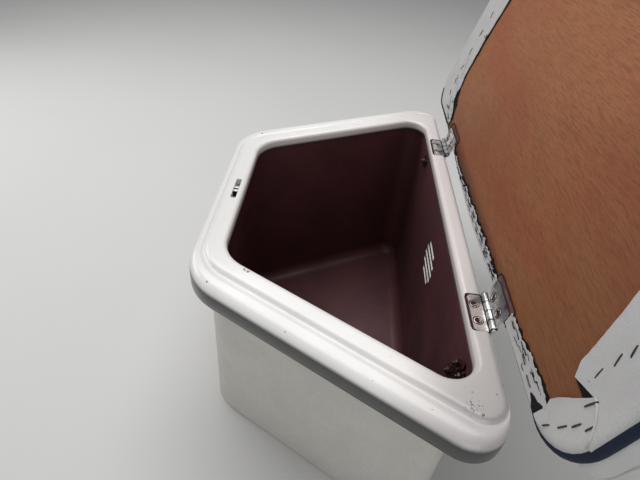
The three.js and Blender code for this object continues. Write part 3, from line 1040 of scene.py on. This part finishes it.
class LOCKER_OT_hinges(Making, bpy.types.Operator):
    """Finish the two butt hinges, with their pins, screws and routed recesses, and painted shade in their
    gaps and round their leaves
    """
    bl_idname = "locker.hinges"
    bl_label = "Hinges"

    # Each leaf's screws: distance from the hinge axis, half their spacing, and height
    BODY_SCREWS = (12.5, 11.5, 299.1)
    LID_SCREWS = (11.5, 11.0, 0.7)
    KNUCKLE = 0.0036

    def make(self, sizes):
        pattern = hinge_screw(sizes.screw)
        facing_down = Matrix((ALONG, Vector((0, -1, 0)), -ACROSS)).transposed().to_4x4()
        for name, side in (("port", 1), ("starboard", -1)):
            middle = side * HINGE_Y
            for node, body in (("hinge_body_leaf", "locker"), ("hinge_pin", "locker"),
                               ("hinge_lid_leaf", "lid")):
                piece = softened(f"{node}_{name}", f"{node}_{name}_steel", sizes.edge)
                # The leaves' knuckle ends are painted dark: painted shade in the gaps between the knuckles
                coated(piece, "steel", "sealant",
                       self.is_knuckle_end if "leaf" in node else lambda face: False)
                finished(piece, body)
            for letter, k in (("a", -1), ("b", 1)):
                turn = Matrix.Rotation(0.5 * k + side, 4, "Z")
                out, apart, height = self.BODY_SCREWS
                place = Matrix.Translation(mm(AXIS_X + out, middle + apart * k, height))
                screw = copied(pattern, f"body_screw_{name}_{letter}", place @ turn)
                finished(screw, "locker")
                out, apart, height = self.LID_SCREWS
                place = Matrix.Translation(on_lid(out, middle + apart * k, height)) @ facing_down
                screw = copied(pattern, f"lid_screw_{name}_{letter}", place @ turn)
                finished(screw, "lid")
            self.pocket_sealant(name, middle)
            self.leaf_recess(name, middle)
        bpy.data.objects.remove(pattern)

    def is_knuckle_end(self, face):
        apart = face.center - HINGE_LINE
        return math.hypot(apart.x, apart.z) < self.KNUCKLE and abs(face.normal.y) > 0.4

    def pocket_sealant(self, name, middle):
        """Painted shade: a dark strip and bead in the gap between the body leaf and its pocket."""
        near, far, low = AXIS_X + 18.7, AFT_X + POCKET["reach"] + POCKET["gap"] - 0.3, 296.9
        half = HINGE_LENGTH / 2
        strip = block("strip", mm(near, middle - half + 1, low), mm(far, middle + half - 1, low + 0.9),
                      0.0003)
        path = self.mirrored(middle, ((AFT_X + 2, half + 0.6), (near - 4, half + 0.6),
                                      (near + 0.6, half - 0.8), (near + 1.9, half - 4), (near + 1.9, 0)))
        bead = wire("bead", [mm(x, y, low + 1.5) for x, y in path], 0.0011, 10)
        finished(joined(f"pocket_sealant_{name}", [strip, bead]), "locker", "sealant", 60)

    def leaf_recess(self, name, middle):
        """The routed edge of the board round the lid leaf, laid flat and painted darker as shade, between
        two dark lines of painted shadow.
        """
        def line(out):
            reach, half = LID_LEAF_REACH + 0.3 + out, HINGE_LENGTH / 2 + 0.2 + out * 0.75
            return self.mirrored(middle, ((14, half), (reach - 6, half), (reach - 1.6, half - 1.6),
                                          (reach, half - 6), (reach, 0)))
        rim = strip_mesh(f"leaf_recess_{name}", line(0.3), line(6.4), 2.6, 21, 0.0005, rag=0.3,
                         ripple=0, step=2.0, rows=4)
        finished(rim, "lid", "routed", 60)
        beads = [wire("bead", [on_lid(a, y, 2.35) for a, y in line(out)], 0.0008, 6)
                 for out in (0.5, 6.6)]
        finished(joined(f"leaf_sealant_{name}", beads), "lid", "sealant", 60)

    @staticmethod
    def mirrored(middle, points):
        """A line round a leaf, from its starboard half's points, the last one on the middle."""
        return ([(a, middle - y) for a, y in points]
                + [(a, middle + y) for a, y in reversed(points[:-1])])


class LOCKER_OT_hinge_fixings(Making, bpy.types.Operator):
    """Model the nuts and sealant lumps inside the well, under the lip near each hinge"""
    bl_idname = "locker.hinge_fixings"
    bl_label = "Hinge fixings"

    # Centre and size of each lump, and whether a bolt's nut shows in it
    PLACES = {"port": (((-136, 229, 262), 1.3, True), ((-136, 221, 269), 0.9, False),
                       ((-135, 219, 256), 1.2, False), ((-136, 211, 260), 0.8, True),
                       ((-135, 211, 246), 1.1, False), ((-136, 203, 249), 0.7, False),
                       ((-135, 203, 236), 1.2, True), ((-136, 195, 232), 0.8, False),
                       ((-135, 196, 223), 0.7, False)),
              "starboard": (((-136, -170, 276), 1.0, True), ((-135, -180, 278), 0.7, False),
                            ((-136, -176, 266), 1.1, False), ((-136, -187, 269), 0.8, False))}

    NUT_RADIUS, NUT_HEIGHT = 0.0042, 0.0034
    BOLT_RADIUS, BOLT_RISE = 0.0021, 0.0026
    # A lump's radius, its share left across the wall, and how far it is sunk in
    LUMP_RADIUS, LUMP_DEPTH, LUMP_SUNK = 0.0058, 0.55, 0.0012

    def make(self, sizes):
        for name, places in self.PLACES.items():
            pieces = []
            for k, (place, size, bolted) in enumerate(places):
                pieces.append(self.lump(mm(*place), size, k))
                if bolted:
                    out = Vector((2.2 * size, 0, 0))
                    pieces.append(self.nut((Vector(place) + out) * MM, 0.4 * k))
            finished(joined(f"hinge_fixings_{name}", pieces), "locker", degrees=60)

    def nut(self, place, turn):
        """A hexagon nut on a bolt end, standing out from the wall."""
        nut = bevelled(cylinder(self.NUT_RADIUS, self.NUT_HEIGHT, 6), 0.0006, 2)
        bolt_end = bevelled(cylinder(self.BOLT_RADIUS, self.NUT_HEIGHT, 16, (0, 0, self.BOLT_RISE)),
                            0.0005, 2)
        nut = joined("nut", [nut, bolt_end])
        nut.data.transform(Matrix.Translation(place) @ Matrix.Rotation(math.pi / 2, 4, "Y")
                           @ Matrix.Rotation(turn, 4, "Z"))
        return coated(nut, "staple")

    def lump(self, place, size, k):
        """A lump of sealant squeezed out round a nut."""
        clear_selection()
        bpy.ops.mesh.primitive_ico_sphere_add(subdivisions=4, radius=self.LUMP_RADIUS * size)
        lump = bpy.context.active_object
        for vert in lump.data.vertices:
            spot = vert.co * 230 / size + Vector((k * 3.7, k, 0))
            bump = 0.7 + 0.75 * noise.noise(spot) + 0.3 * noise.noise(spot * 2.6)
            flat = Vector((vert.co.x * self.LUMP_DEPTH - self.LUMP_SUNK, vert.co.y, vert.co.z))
            vert.co = flat * bump + place
        return coated(lump, "sealant")


class LOCKER_OT_lid_board(Making, bpy.types.Operator):
    """Model the lid's board: bare plywood underneath, the cover's vinyl over its edges and top"""
    bl_idname = "locker.lid_board"
    bl_label = "Lid board"

    def make(self, sizes):
        edge = ((-0.8, 0), (-0.2, 0.25), (0, 0.8))
        sections = [(grow, BOARD_LOW + c) for grow, c in edge]
        sections += [(grow, BOARD_LOW + BOARD - c) for grow, c in reversed(edge)]
        board = smoothed(lid_piece("ply_board", sections, "capped"), 40)
        coated(board, "ply", "grey_vinyl", lambda face: face.normal.dot(ACROSS) > -0.4)
        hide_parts("lid_board")
        finished(board, "lid")


class LOCKER_OT_edge_band(Making, bpy.types.Operator):
    """Model the navy band that bulges round the board's edge"""
    bl_idname = "locker.edge_band"
    bl_label = "Edge band"

    MIDDLE = BOARD_LOW + BOARD / 2
    HALF_HEIGHT = 6.2
    # Beyond this far to each side the band isn't pressed in by the hinge edge
    PRESSED_TO = 302
    WAVE, WAVE_SIZE = 0.0006, 22.0

    def make(self, sizes):
        bulge = sizes.bulge / MM
        turns = [math.radians(-80 + 160 * k / 8) for k in range(9)]
        band = lid_piece("navy_edge_band", [(0.4, 14.6), (0.4, 3.2)] + [
            (0.6 + bulge * math.cos(turn), self.MIDDLE + self.HALF_HEIGHT * math.sin(turn))
            for turn in turns], "joined")
        for vert in band.data.vertices:
            a, y, c = off_lid(vert.co)
            far = a + 6 - hinge_edge(y)
            if far < 4 and c > 3.5:
                pressed = clamped((self.PRESSED_TO - abs(y)) / 20)
                vert.co += ALONG * (min(4 - far, 3.6) * 0.8 * pressed) * MM
        shifts = [vert.normal * self.WAVE * noise.noise(vert.co * self.WAVE_SIZE)
                  for vert in band.data.vertices]
        for vert, shift in zip(band.data.vertices, shifts):
            vert.co += shift
        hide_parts("lid_edge_band")
        finished(band, "lid", "navy_vinyl", 60)


def along_curve(points, t):
    """The point at a share t of a polyline's length."""
    points = [Vector(p) for p in points]
    lengths = [(b - a).length for a, b in zip(points, points[1:])]
    target = t * sum(lengths)
    for a, b, length in zip(points, points[1:], lengths):
        if target <= length and length > 0:
            return a.lerp(b, target / length)
        target -= length
    return points[-1]


def curve_length(points):
    return sum((Vector(b) - Vector(a)).length for a, b in zip(points, points[1:]))


# A strip's share that rolls out over the edge band, where it does
ROLLED = 0.12


def strip_mesh(name, outer, inner, low, seed, thickness, middle=None, rag=0.7, lift=0.0, curl=0.0,
               ripple=0.25, rows=8, step=2.6, roll=0.0):
    """A strip between two lines on the board's underside, by way of a middle one if given. low is
    its height from the hinge axis, rag how rough its cut edge is, lift and curl how far that edge
    stands off, and roll how far its outer edge is taken out over the edge band."""
    length = max(curve_length(outer), curve_length(inner))
    clear_selection()
    bpy.ops.mesh.primitive_grid_add(x_subdivisions=max(6, int(length / step)), y_subdivisions=rows,
                                    size=1)
    strip = named(bpy.context.active_object, name)
    offset = Vector((seed * 7.3, seed * 3.1, seed))

    def rough(point, far, size):
        return noise.noise(offset + Vector((point.x, point.y, far)) * size)

    for vert in strip.data.vertices:
        u, v = vert.co.x + 0.5, (vert.co.y + 0.5) ** (1.6 if roll else 1)
        start, end = along_curve(outer, u), along_curve(inner, u)
        if middle is None:
            point = start.lerp(end, v)
        else:
            waist = along_curve(middle, u)
            point = start.lerp(waist, v * 2) if v < 0.5 else waist.lerp(end, v * 2 - 1)
        across = (end - start).normalized() if (end - start).length > 1e-6 else Vector((0, 0))
        edge = rag * (rough(point, 0, 0.13) + 0.45 * rough(point, 9, 0.45))
        point = point + across * edge * v ** 6
        rise = ripple * rough(point, 4, 0.05) * (0.3 + v)
        c = min(low - lift * v ** 3 - curl * v ** 8 + rise, BOARD_LOW - thickness / MM / 2 - 0.05)
        if roll and v < ROLLED:
            turn = math.radians(-90 + 55 * (1 - v / ROLLED))
            point = start - across * (0.6 * min(roll, 1) + roll * math.cos(turn) - 30 * v * v / ROLLED)
            c = 8.6 + 7.5 * math.sin(turn)
        vert.co = on_lid(point.x, point.y, c)
    strip.data.update()
    return modified(strip, "SOLIDIFY", thickness=thickness, offset=0)


def turned_strip(name, outer, inner, low, finish, seed, thickness=None, **shape):
    """A strip of the cover's vinyl, of its dark cloth or of painted shadow, turned under the board."""
    thickness = thickness or bpy.context.scene.locker_sizes.flap
    strip = strip_mesh(name, outer, inner, low, seed, thickness, **shape)
    width = max((Vector(along_curve(inner, t / 20)) - along_curve(outer, t / 20)).length
                for t in range(21)) * MM
    finished(strip, "lid", finish, 50)


def backing_strip(name, outer, inner, seed, **shape):
    """A dark strip along the vinyl's torn edge: painted shadow of the edge, in the dark cloth finish."""
    turned_strip(name, outer, inner, 2.6, "backing", seed, 0.0004, ripple=0, **shape)


def corner_run(fore, side, first, last):
    """Points round one of the board's corners, from the hinge or fore edge towards the side."""
    centre, outward = (LID_FORE - LID_CORNER, 1) if fore else (18 + LID_CORNER, -1)
    turns = [math.radians(first + (last - first) * k / 8) for k in range(9)]
    return [(centre + outward * math.cos(turn) * LID_CORNER,
             side * (LID_HALF_WIDTH - LID_CORNER + math.sin(turn) * LID_CORNER)) for turn in turns]


def edge_run(low, high):
    """Points along the hinge edge of the board, about 9 mm apart."""
    count = max(2, int(abs(high - low) / 9))
    return [(hinge_edge(y), y) for y in (low + (high - low) * k / count for k in range(count + 1))]


def shifted(outer, inner, t, by=0.0):
    """The line part of the way between two others, moved on by a distance."""
    line = []
    for k in range(31):
        start, end = along_curve(outer, k / 30), along_curve(inner, k / 30)
        line.append(tuple(start.lerp(end, t) + (end - start).normalized() * by))
    return line


# Lines on the lid's underside, as (distance from the hinge axis, distance to port)
MIDDLE_STRIP = (edge_run(-148.5, 148.5),
                [(18, -148.5), (15.5, -119), (14.8, -84), (16.5, -52), (19, -30), (18.5, -1), (20.5, 20),
                 (19.5, 47), (22, 70), (21.5, 98), (23.5, 115), (22.5, 133), (24, 148.5)])
PORT_STRIP = (edge_run(200, 298) + [(18.3, 305)],
              [(29.5, 200), (31, 230), (35.5, 260), (36.5, 283), (35, 299), (30, 309)])
PORT_FLAP = ([(58, 344.8), (66, 345), (100, 345), (160, 345), (220, 345), (289, 345)],
             [(80, 321), (88, 318), (106, 316), (160, 312), (220, 308), (289, 305)],
             [(71, 297), (82, 289), (100, 286), (128, 281), (146, 276), (190, 271), (240, 267), (292, 264)])
STARBOARD_FLAP = ([(289, -345), (220, -345), (140, -345)] + corner_run(False, -1, 90, 0)
                  + edge_run(-296, -222),
                  [(292, -262), (210, -260), (178, -264), (148, -267), (128, -266), (86, -266),
                   (70, -257), (58, -259), (47, -252), (40, -238), (33, -227), (24, -219)])
FORE_FLAP = ([(336, -299), (336, -140), (336, 0), (336, 140), (336, 299)],
             [(284, -258), (287, -180), (283, -90), (288, 0), (284, 95), (287, 180), (284, 258)])
FORE_TAB = ((292, 292), (293, 284), (294, 276), (295, 268), (293, 256))
PORT_TAB = (corner_run(False, 1, 8, 96), [(41, 298), (49, 301), (57, 306), (68, 312.5), (80, 319)])
PLEAT = [(80.5, 318.5), (79, 325), (76, 330), (71.5, 335.5), (64, 341.5), (57, 345.5)]


class LOCKER_OT_cover_flaps(Making, bpy.types.Operator):
    """Model the cover's edge turned under the board, with its pleats, ragged cut, dark cloth, and painted
    shadow along its cut edges
    """
    bl_idname = "locker.cover_flaps"
    bl_label = "Cover flaps"

    def make(self, sizes):
        flap, torn, backing = "flap_vinyl", "torn_vinyl", "backing"
        for name, (outer, inner), seed in (("hinge_strip_middle", MIDDLE_STRIP, 1),
                                           ("hinge_strip_port", PORT_STRIP, 4)):
            turned_strip(name, outer, inner, 1.7, torn, seed, rag=3.4, lift=0.9, step=1.3, ripple=0.5,
                         rows=10)
            backing_strip(f"{name}_backing", shifted(outer, inner, 0.6), shifted(outer, inner, 1.0, 1.9),
                          seed + 1, rag=2.4, rows=4, step=1.5)
        outer, middle, inner = PORT_FLAP
        turned_strip("port_flap", outer, inner, 1.5, flap, 6, middle=middle, lift=0.7, ripple=0.5,
                     rows=22, roll=2.0)
        backing_strip("port_flap_backing", shifted(middle, inner, 0.3), shifted(middle, inner, 1.0, 1.6),
                      7, rag=1.0, rows=6)
        outer, inner = STARBOARD_FLAP
        turned_strip("starboard_flap", outer, inner, 1.5, torn, 8, rag=0.8, lift=0.6, ripple=0.5,
                     rows=22, roll=0.8)
        backing_strip("starboard_flap_backing", shifted(outer, inner, 0.7),
                      shifted(outer, inner, 1.0, 2.0), 9, rag=0.9, rows=6)
        turned_strip("fore_flap", *FORE_FLAP, 1.0, flap, 10, lift=0.5, ripple=0.4, rows=20, roll=2.0)
        for name, side in (("port", 1), ("starboard", -1)):
            turned_strip(f"fore_corner_tab_{name}", corner_run(True, side, 96, -6),
                         [(a, y * side) for a, y in FORE_TAB], 0.35, flap, 11 + side, rag=0.5,
                         ripple=0.3, rows=16, roll=2.6)
        turned_strip("corner_tab_port", *PORT_TAB, 0.9, flap, 14, rag=0.4, curl=0.3, rows=16, roll=1.0)
        turned_strip("corner_lining_port", [(69, 315), (75, 319), (80.5, 321.5)],
                     [(69.5, 297), (74, 305), (80, 317)], 2.2, backing, 15, 0.0005, rag=0.4, ripple=0.1)
        turned_strip("corner_notch_port", [(22.5, 281), (21, 287), (18.8, 291.5), (18, 296), (19.5, 302)],
                     [(23, 281.3), (26.3, 287.4), (27, 292.4), (30.8, 298.7), (34, 303)], 0.75, backing,
                     16, 0.0006, rag=1.2, ripple=0.2, step=0.9)
        turned_strip("corner_patch_port", [(19.5, 299), (20, 306), (24, 314)],
                     [(30, 300.5), (36, 307), (33, 315)], 0.35, flap, 17, 0.0008, rag=1.2, ripple=0.2,
                     step=0.9)
        bared_edge = corner_run(False, -1, 52, 0) + edge_run(-296, -224)
        towards = [(68, -262), (58, -259), (47, -252), (40, -238), (24, -219)]
        turned_strip("corner_edge_starboard", bared_edge, shifted(bared_edge, towards, 0.0, 5.4), 0.6,
                     backing, 18, 0.0006, rag=1.6, ripple=0.1, step=1.6, rows=12, roll=1.8)
        backing_strip("starboard_tear_backing",
                      [(68, -263), (58, -262), (50, -256), (42, -246), (34, -234), (24, -224)],
                      [(67, -254), (60, -248), (55, -244), (49, -231), (39, -227), (31, -215)],
                      19, rag=2.6, rows=6, step=1.5)
        self.tears()
        fold = wire("corner_pleat_port", [on_lid(a, y, 0.55) for a, y in PLEAT], 0.0011, 10, 0.5)
        finished(fold, "lid", flap, 180)
        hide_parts("lid_under_wrap")
        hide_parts("lid_hinge_edge_wrap")

    def tears(self):
        """Ragged dark tears in the cover, along the hinge edge."""
        lines = list(TEAR_LINES)
        outer, inner = MIDDLE_STRIP
        for row, (share, width) in enumerate(((0.38, 0.5), (0.62, 0.7), (0.85, 0.8))):
            start = 0.02 + 0.013 * row
            while start < 0.96:
                luck = noise.noise(Vector((start * 37, row * 4.3, 1)))
                length = 0.045 + 0.05 * abs(luck)
                ends = [t for t in (start + length * k / 3 for k in range(4)) if t <= 0.985]
                line = [tuple(along_curve(outer, t).lerp(along_curve(inner, t), share + 0.14 * luck))
                        for t in ends]
                if len(line) > 1:
                    lines.append((line, width * (0.7 + 0.6 * abs(luck))))
                start += length + 0.02 + 0.05 * abs(noise.noise(Vector((start * 53, row * 2.1, 5))))
        pieces = []
        for k, (line, width) in enumerate(lines):
            count = max(4, int(curve_length(line) / 1.2))
            path = []
            for j in range(count + 1):
                point = along_curve(line, j / count)
                sway = 1.5 * noise.noise(Vector((j * 0.45, k * 5.1, 0)))
                path.append(on_lid(point.x + sway, point.y, 1.05))
            tear = wire("tear", path, width * MM, 6, 0.25)
            for vert in tear.data.vertices:
                vert.co += noise.noise_vector(vert.co * 900) * 0.25 * width * MM
            pieces.append(tear)
        finished(joined("cover_tears", pieces), "lid", "backing", 60)


# Tears along the hinge edge: the points that each passes, and how wide it gapes
TEAR_LINES = [
    ([(26.9, 208.5), (27.2, 215.2), (29.1, 221.3), (27.1, 230.1)], 0.75),
    ([(29.5, 216), (30.6, 224)], 0.45),
    ([(30.1, 232.9), (29.8, 239.5), (31.0, 249.9)], 0.8),
    ([(32, 246), (32.6, 257)], 0.5),
    ([(28.9, 264.6), (30.6, 272.2), (31.9, 279.4)], 0.6),
    ([(32.2, 276), (33.4, 289), (32.8, 293.2)], 0.55),
    ([(22.8, 221.8), (24.1, 231), (26.4, 243.7)], 0.3),
    ([(75.8, -300.6), (64.2, -279.3)], 0.5),
    ([(88, -283), (66, -270), (55, -263)], 0.5),
    ([(47, -276), (36, -259), (30, -243)], 0.5),
    ([(34, -262), (31, -254)], 0.9),
    ([(25, -239), (24, -229)], 0.9),
    ([(120, -300), (98, -290), (84, -274)], 0.4),
]

# Staples: the two ends, as (distance from the hinge axis, distance to port), and the crown's height
STAPLES = [
    ((86, 307), (96, 305), 0.9), ((104, 309), (114, 305), 0.9), ((118, 311), (127, 307), 0.9),
    ((69, 320), (81, 323), 0.2), ((52, 327), (61, 329), 0.2), ((62, 335), (71, 336), 0.2),
    ((39, 321), (48, 324), 0.2), ((25, 312), (32, 315), 0.0), ((26.8, 245), (25.9, 256), 0.9),
    ((24.1, 265), (23.9, 277), 0.9),
    ((150, 304), (160, 301), 0.9), ((182, 303), (192, 300), 0.9), ((214, 302), (225, 300), 0.9),
    ((248, 301), (258, 299), 0.9), ((205, -292), (216, -294), 0.9), ((172, -296), (182, -298), 0.9),
    ((142, -300), (153, -299), 0.9), ((112, -300), (122, -302), 0.9), ((84, -300), (94, -297), 0.9),
    ((62, -292), (70, -299), 0.9), ((44, -284), (50, -294), 0.9), ((30, -262), (31, -273), 1.0),
    ((26, -236), (27, -246), 1.0), ((236, -293), (247, -295), 0.9),
    ((268, -293), (278, -292), 0.9),
    ((308, -230), (309, -219), 0.5), ((309, -176), (308, -165), 0.5), ((307, -120), (309, -109), 0.5),
    ((308, -62), (308, -51), 0.5), ((309, -4), (308, 7), 0.5), ((308, 54), (307, 65), 0.5),
    ((308, 112), (309, 123), 0.5), ((307, 170), (308, 181), 0.5), ((309, 226), (308, 237), 0.5),
    ((316, 292), (309, 300), -0.3), ((316, -292), (309, -300), -0.3),
]


class LOCKER_OT_staples(Making, bpy.types.Operator):
    """Model one staple and set copies of it round the cover's turned-under edge"""
    bl_idname = "locker.staples"
    bl_label = "Staples"

    # Half a staple's bent wire, from the leg's tip: how far in from the end, and the height
    BEND = ((0, -0.0022), (0, -0.0006), (0.0004, -0.0001), (0.0011, 0.0002))

    def make(self, sizes):
        half = sizes.staple / 2
        path = [(inward - half, 0, z) for inward, z in self.BEND] + [(0, 0, 0.00035)]
        path += [(half - inward, 0, z) for inward, z in reversed(self.BEND)]
        pattern = wire("staple", path, sizes.staple_wire)
        copies = []
        for k, (start, end, top) in enumerate(STAPLES):
            a, b = on_lid(*start, top), on_lid(*end, top)
            run = (b - a).normalized()
            turn = Matrix((run, run.cross(ACROSS), -ACROSS)).transposed().to_4x4()
            stretch = Matrix.Diagonal(((b - a).length / sizes.staple, 1, 1, 1))
            copies.append(copied(pattern, f"staple_{k:02d}",
                                 Matrix.Translation((a + b) / 2) @ turn @ stretch))
        bpy.data.objects.remove(pattern)
        finished(joined("cover_staples", copies), "lid", "staple", 60)


class LOCKER_OT_cushion(Making, bpy.types.Operator):
    """Model the padded cushion: swelled by cloth pressure, flat on the board, with a welted seam"""
    bl_idname = "locker.cushion"
    bl_label = "Cushion"

    LAST_FRAME = 20
    LOW = BOARD_LOW + BOARD + 0.3
    # Set back from the hinge edge, eased in over a distance
    SET_BACK, EASED = 1.5, 6
    # Swell of its sides, the height that it takes up, and how many times it the aft corners overhang
    SWELL, SWELL_HEIGHT, OVERHANG = 8.5, 40, 1.1
    # How far out the swell starts, and how much further on it is full, at the sides and forward
    SIDES_FROM, SIDES_OVER = 280, 50
    FORE_FROM, FORE_OVER = 280, 45
    WELT_OUT, WELT_HEIGHT, WELT_RADIUS = 12, 43, 0.0018

    def make(self, sizes):
        cushion = softened("lid_cushion", "lid_cushion_pad", 0)
        modified(cushion, "REMESH", mode="VOXEL", voxel_size=sizes.voxel, use_smooth_shade=True)
        rest = [vert.co.copy() for vert in cushion.data.vertices]
        self.swell(cushion)
        limit = sizes.puff
        for vert, start in zip(cushion.data.vertices, rest):
            shift = vert.co - start
            if shift.length > limit:
                shift *= limit / shift.length
            height = off_lid(start)[2] - self.LOW
            free = clamped((height - 1) / 14)
            vert.co = start + shift * free
            self.fit(vert, height, free)
        modified(cushion, "SMOOTH", factor=0.5, iterations=6)
        modified(cushion, "SUBSURF", levels=1, render_levels=1)
        finished(cushion, "lid", "grey_vinyl", 180)
        self.welt(cushion)

    def swell(self, cushion):
        """Swells the cushion's cover by pressure from inside."""
        only(cushion)
        scene = bpy.context.scene
        cloth = cushion.modifiers.new("Cloth", "CLOTH")
        cloth.settings.use_pressure = True
        cloth.settings.uniform_pressure_force = 4
        cloth.settings.effector_weights.gravity = 0
        cloth.settings.quality = 5
        cloth.point_cache.frame_start = 1
        cloth.point_cache.frame_end = self.LAST_FRAME
        for k in range(1, self.LAST_FRAME + 1):
            scene.frame_set(k)
        only(cushion)
        bpy.ops.object.modifier_apply(modifier="Cloth")
        scene.frame_set(1)

    def fit(self, vert, height, free):
        """Sets a point back along the hinge edge, out at the sides, and squares the aft corners."""
        side = math.copysign(1, vert.co.y)
        a, y, _ = off_lid(vert.co)
        y = abs(y)
        behind = hinge_edge(y) + self.SET_BACK + self.EASED - a
        if behind > 0:
            vert.co += ALONG * behind * min(behind / self.EASED, 1) * 0.95 * MM
        swell = self.SWELL * math.sin(math.pi * clamped(height / self.SWELL_HEIGHT) ** 1.05) * MM
        vert.co.y += side * swell * clamped((y - self.SIDES_FROM) / self.SIDES_OVER)
        vert.co += ALONG * swell * 0.6 * clamped((a - self.FORE_FROM) / self.FORE_OVER)
        from_aft = (hinge_edge(LID_HALF_WIDTH) + LID_CORNER - a) / LID_CORNER
        from_side = (y - LID_HALF_WIDTH + LID_CORNER) / LID_CORNER
        if from_aft > 0 and from_side > 0:
            squarer = math.hypot(from_aft, from_side) / (from_aft ** 6 + from_side ** 6) ** (1 / 6) - 1
            reach = LID_CORNER * squarer * free * MM
            vert.co -= ALONG * (from_aft * reach + self.OVERHANG * swell * min(from_side, from_aft, 1))
            vert.co.y += side * from_side * reach

    def welt(self, cushion):
        """A welted seam round the top edge, laid on the cushion's surface."""
        path = []
        for point in lid_outline(self.WELT_OUT):
            near = on_lid(point.x, point.y, self.WELT_HEIGHT)
            _, place, normal, _ = cushion.closest_point_on_mesh(near)
            path.append(place + normal * 0.0004)
        rings = []
        for i, point in enumerate(path):
            ahead = (path[(i + 1) % len(path)] - path[i - 1]).normalized()
            side = ahead.cross(ACROSS).normalized()
            rings.append(circle(point, side, side.cross(ahead), self.WELT_RADIUS, 8))
        finished(ring_piece("cushion_welt", rings, "joined"), "lid", "grey_vinyl", 180)


class LOCKER_OT_lid_catch(Making, bpy.types.Operator):
    """Finish the catch plate and its prongs"""
    bl_idname = "locker.lid_catch"
    bl_label = "Lid catch"

    def make(self, sizes):
        finished(softened("lid_catch", "lid_catch_steel", sizes.edge), "lid", "steel")


# Panel and registration

STEPS = (
    LOCKER_OT_stage, LOCKER_OT_coaming, LOCKER_OT_well, LOCKER_OT_vent, LOCKER_OT_latch_keeper,
    LOCKER_OT_hinges, LOCKER_OT_hinge_fixings, LOCKER_OT_lid_board, LOCKER_OT_edge_band,
    LOCKER_OT_cover_flaps, LOCKER_OT_staples, LOCKER_OT_cushion, LOCKER_OT_lid_catch,
)


class LOCKER_PT_panel(bpy.types.Panel):
    """Settings and pieces of the bow locker"""
    bl_idname = "LOCKER_PT_panel"
    bl_label = "Bow locker"
    bl_space_type = "VIEW_3D"
    bl_region_type = "UI"
    bl_category = "Locker"

    def draw(self, context):
        for group in (context.scene.locker_looks, context.scene.locker_sizes, context.scene.locker_stage):
            box = self.layout.box()
            for key in group.__annotations__:
                box.prop(group, key)
        for step in STEPS:
            self.layout.operator(step.bl_idname)


CLASSES = (LockerLooks, LockerSizes, LockerStage, *STEPS, LOCKER_PT_panel)


def register():
    for cls in CLASSES:
        bpy.utils.register_class(cls)
    bpy.types.Scene.locker_looks = PointerProperty(type=LockerLooks)
    bpy.types.Scene.locker_sizes = PointerProperty(type=LockerSizes)
    bpy.types.Scene.locker_stage = PointerProperty(type=LockerStage)


def unregister():
    del bpy.types.Scene.locker_looks
    del bpy.types.Scene.locker_sizes
    del bpy.types.Scene.locker_stage
    for cls in reversed(CLASSES):
        bpy.utils.unregister_class(cls)


def main():
    register()
    build_groups()
    build_finishes()
    for step in STEPS:
        group, name = step.bl_idname.split(".")
        result = getattr(getattr(bpy.ops, group), name)()
        if result != {"FINISHED"}:
            raise RuntimeError(f"{step.bl_label} was not finished")
    clear_selection()


if __name__ == "__main__":
    main()
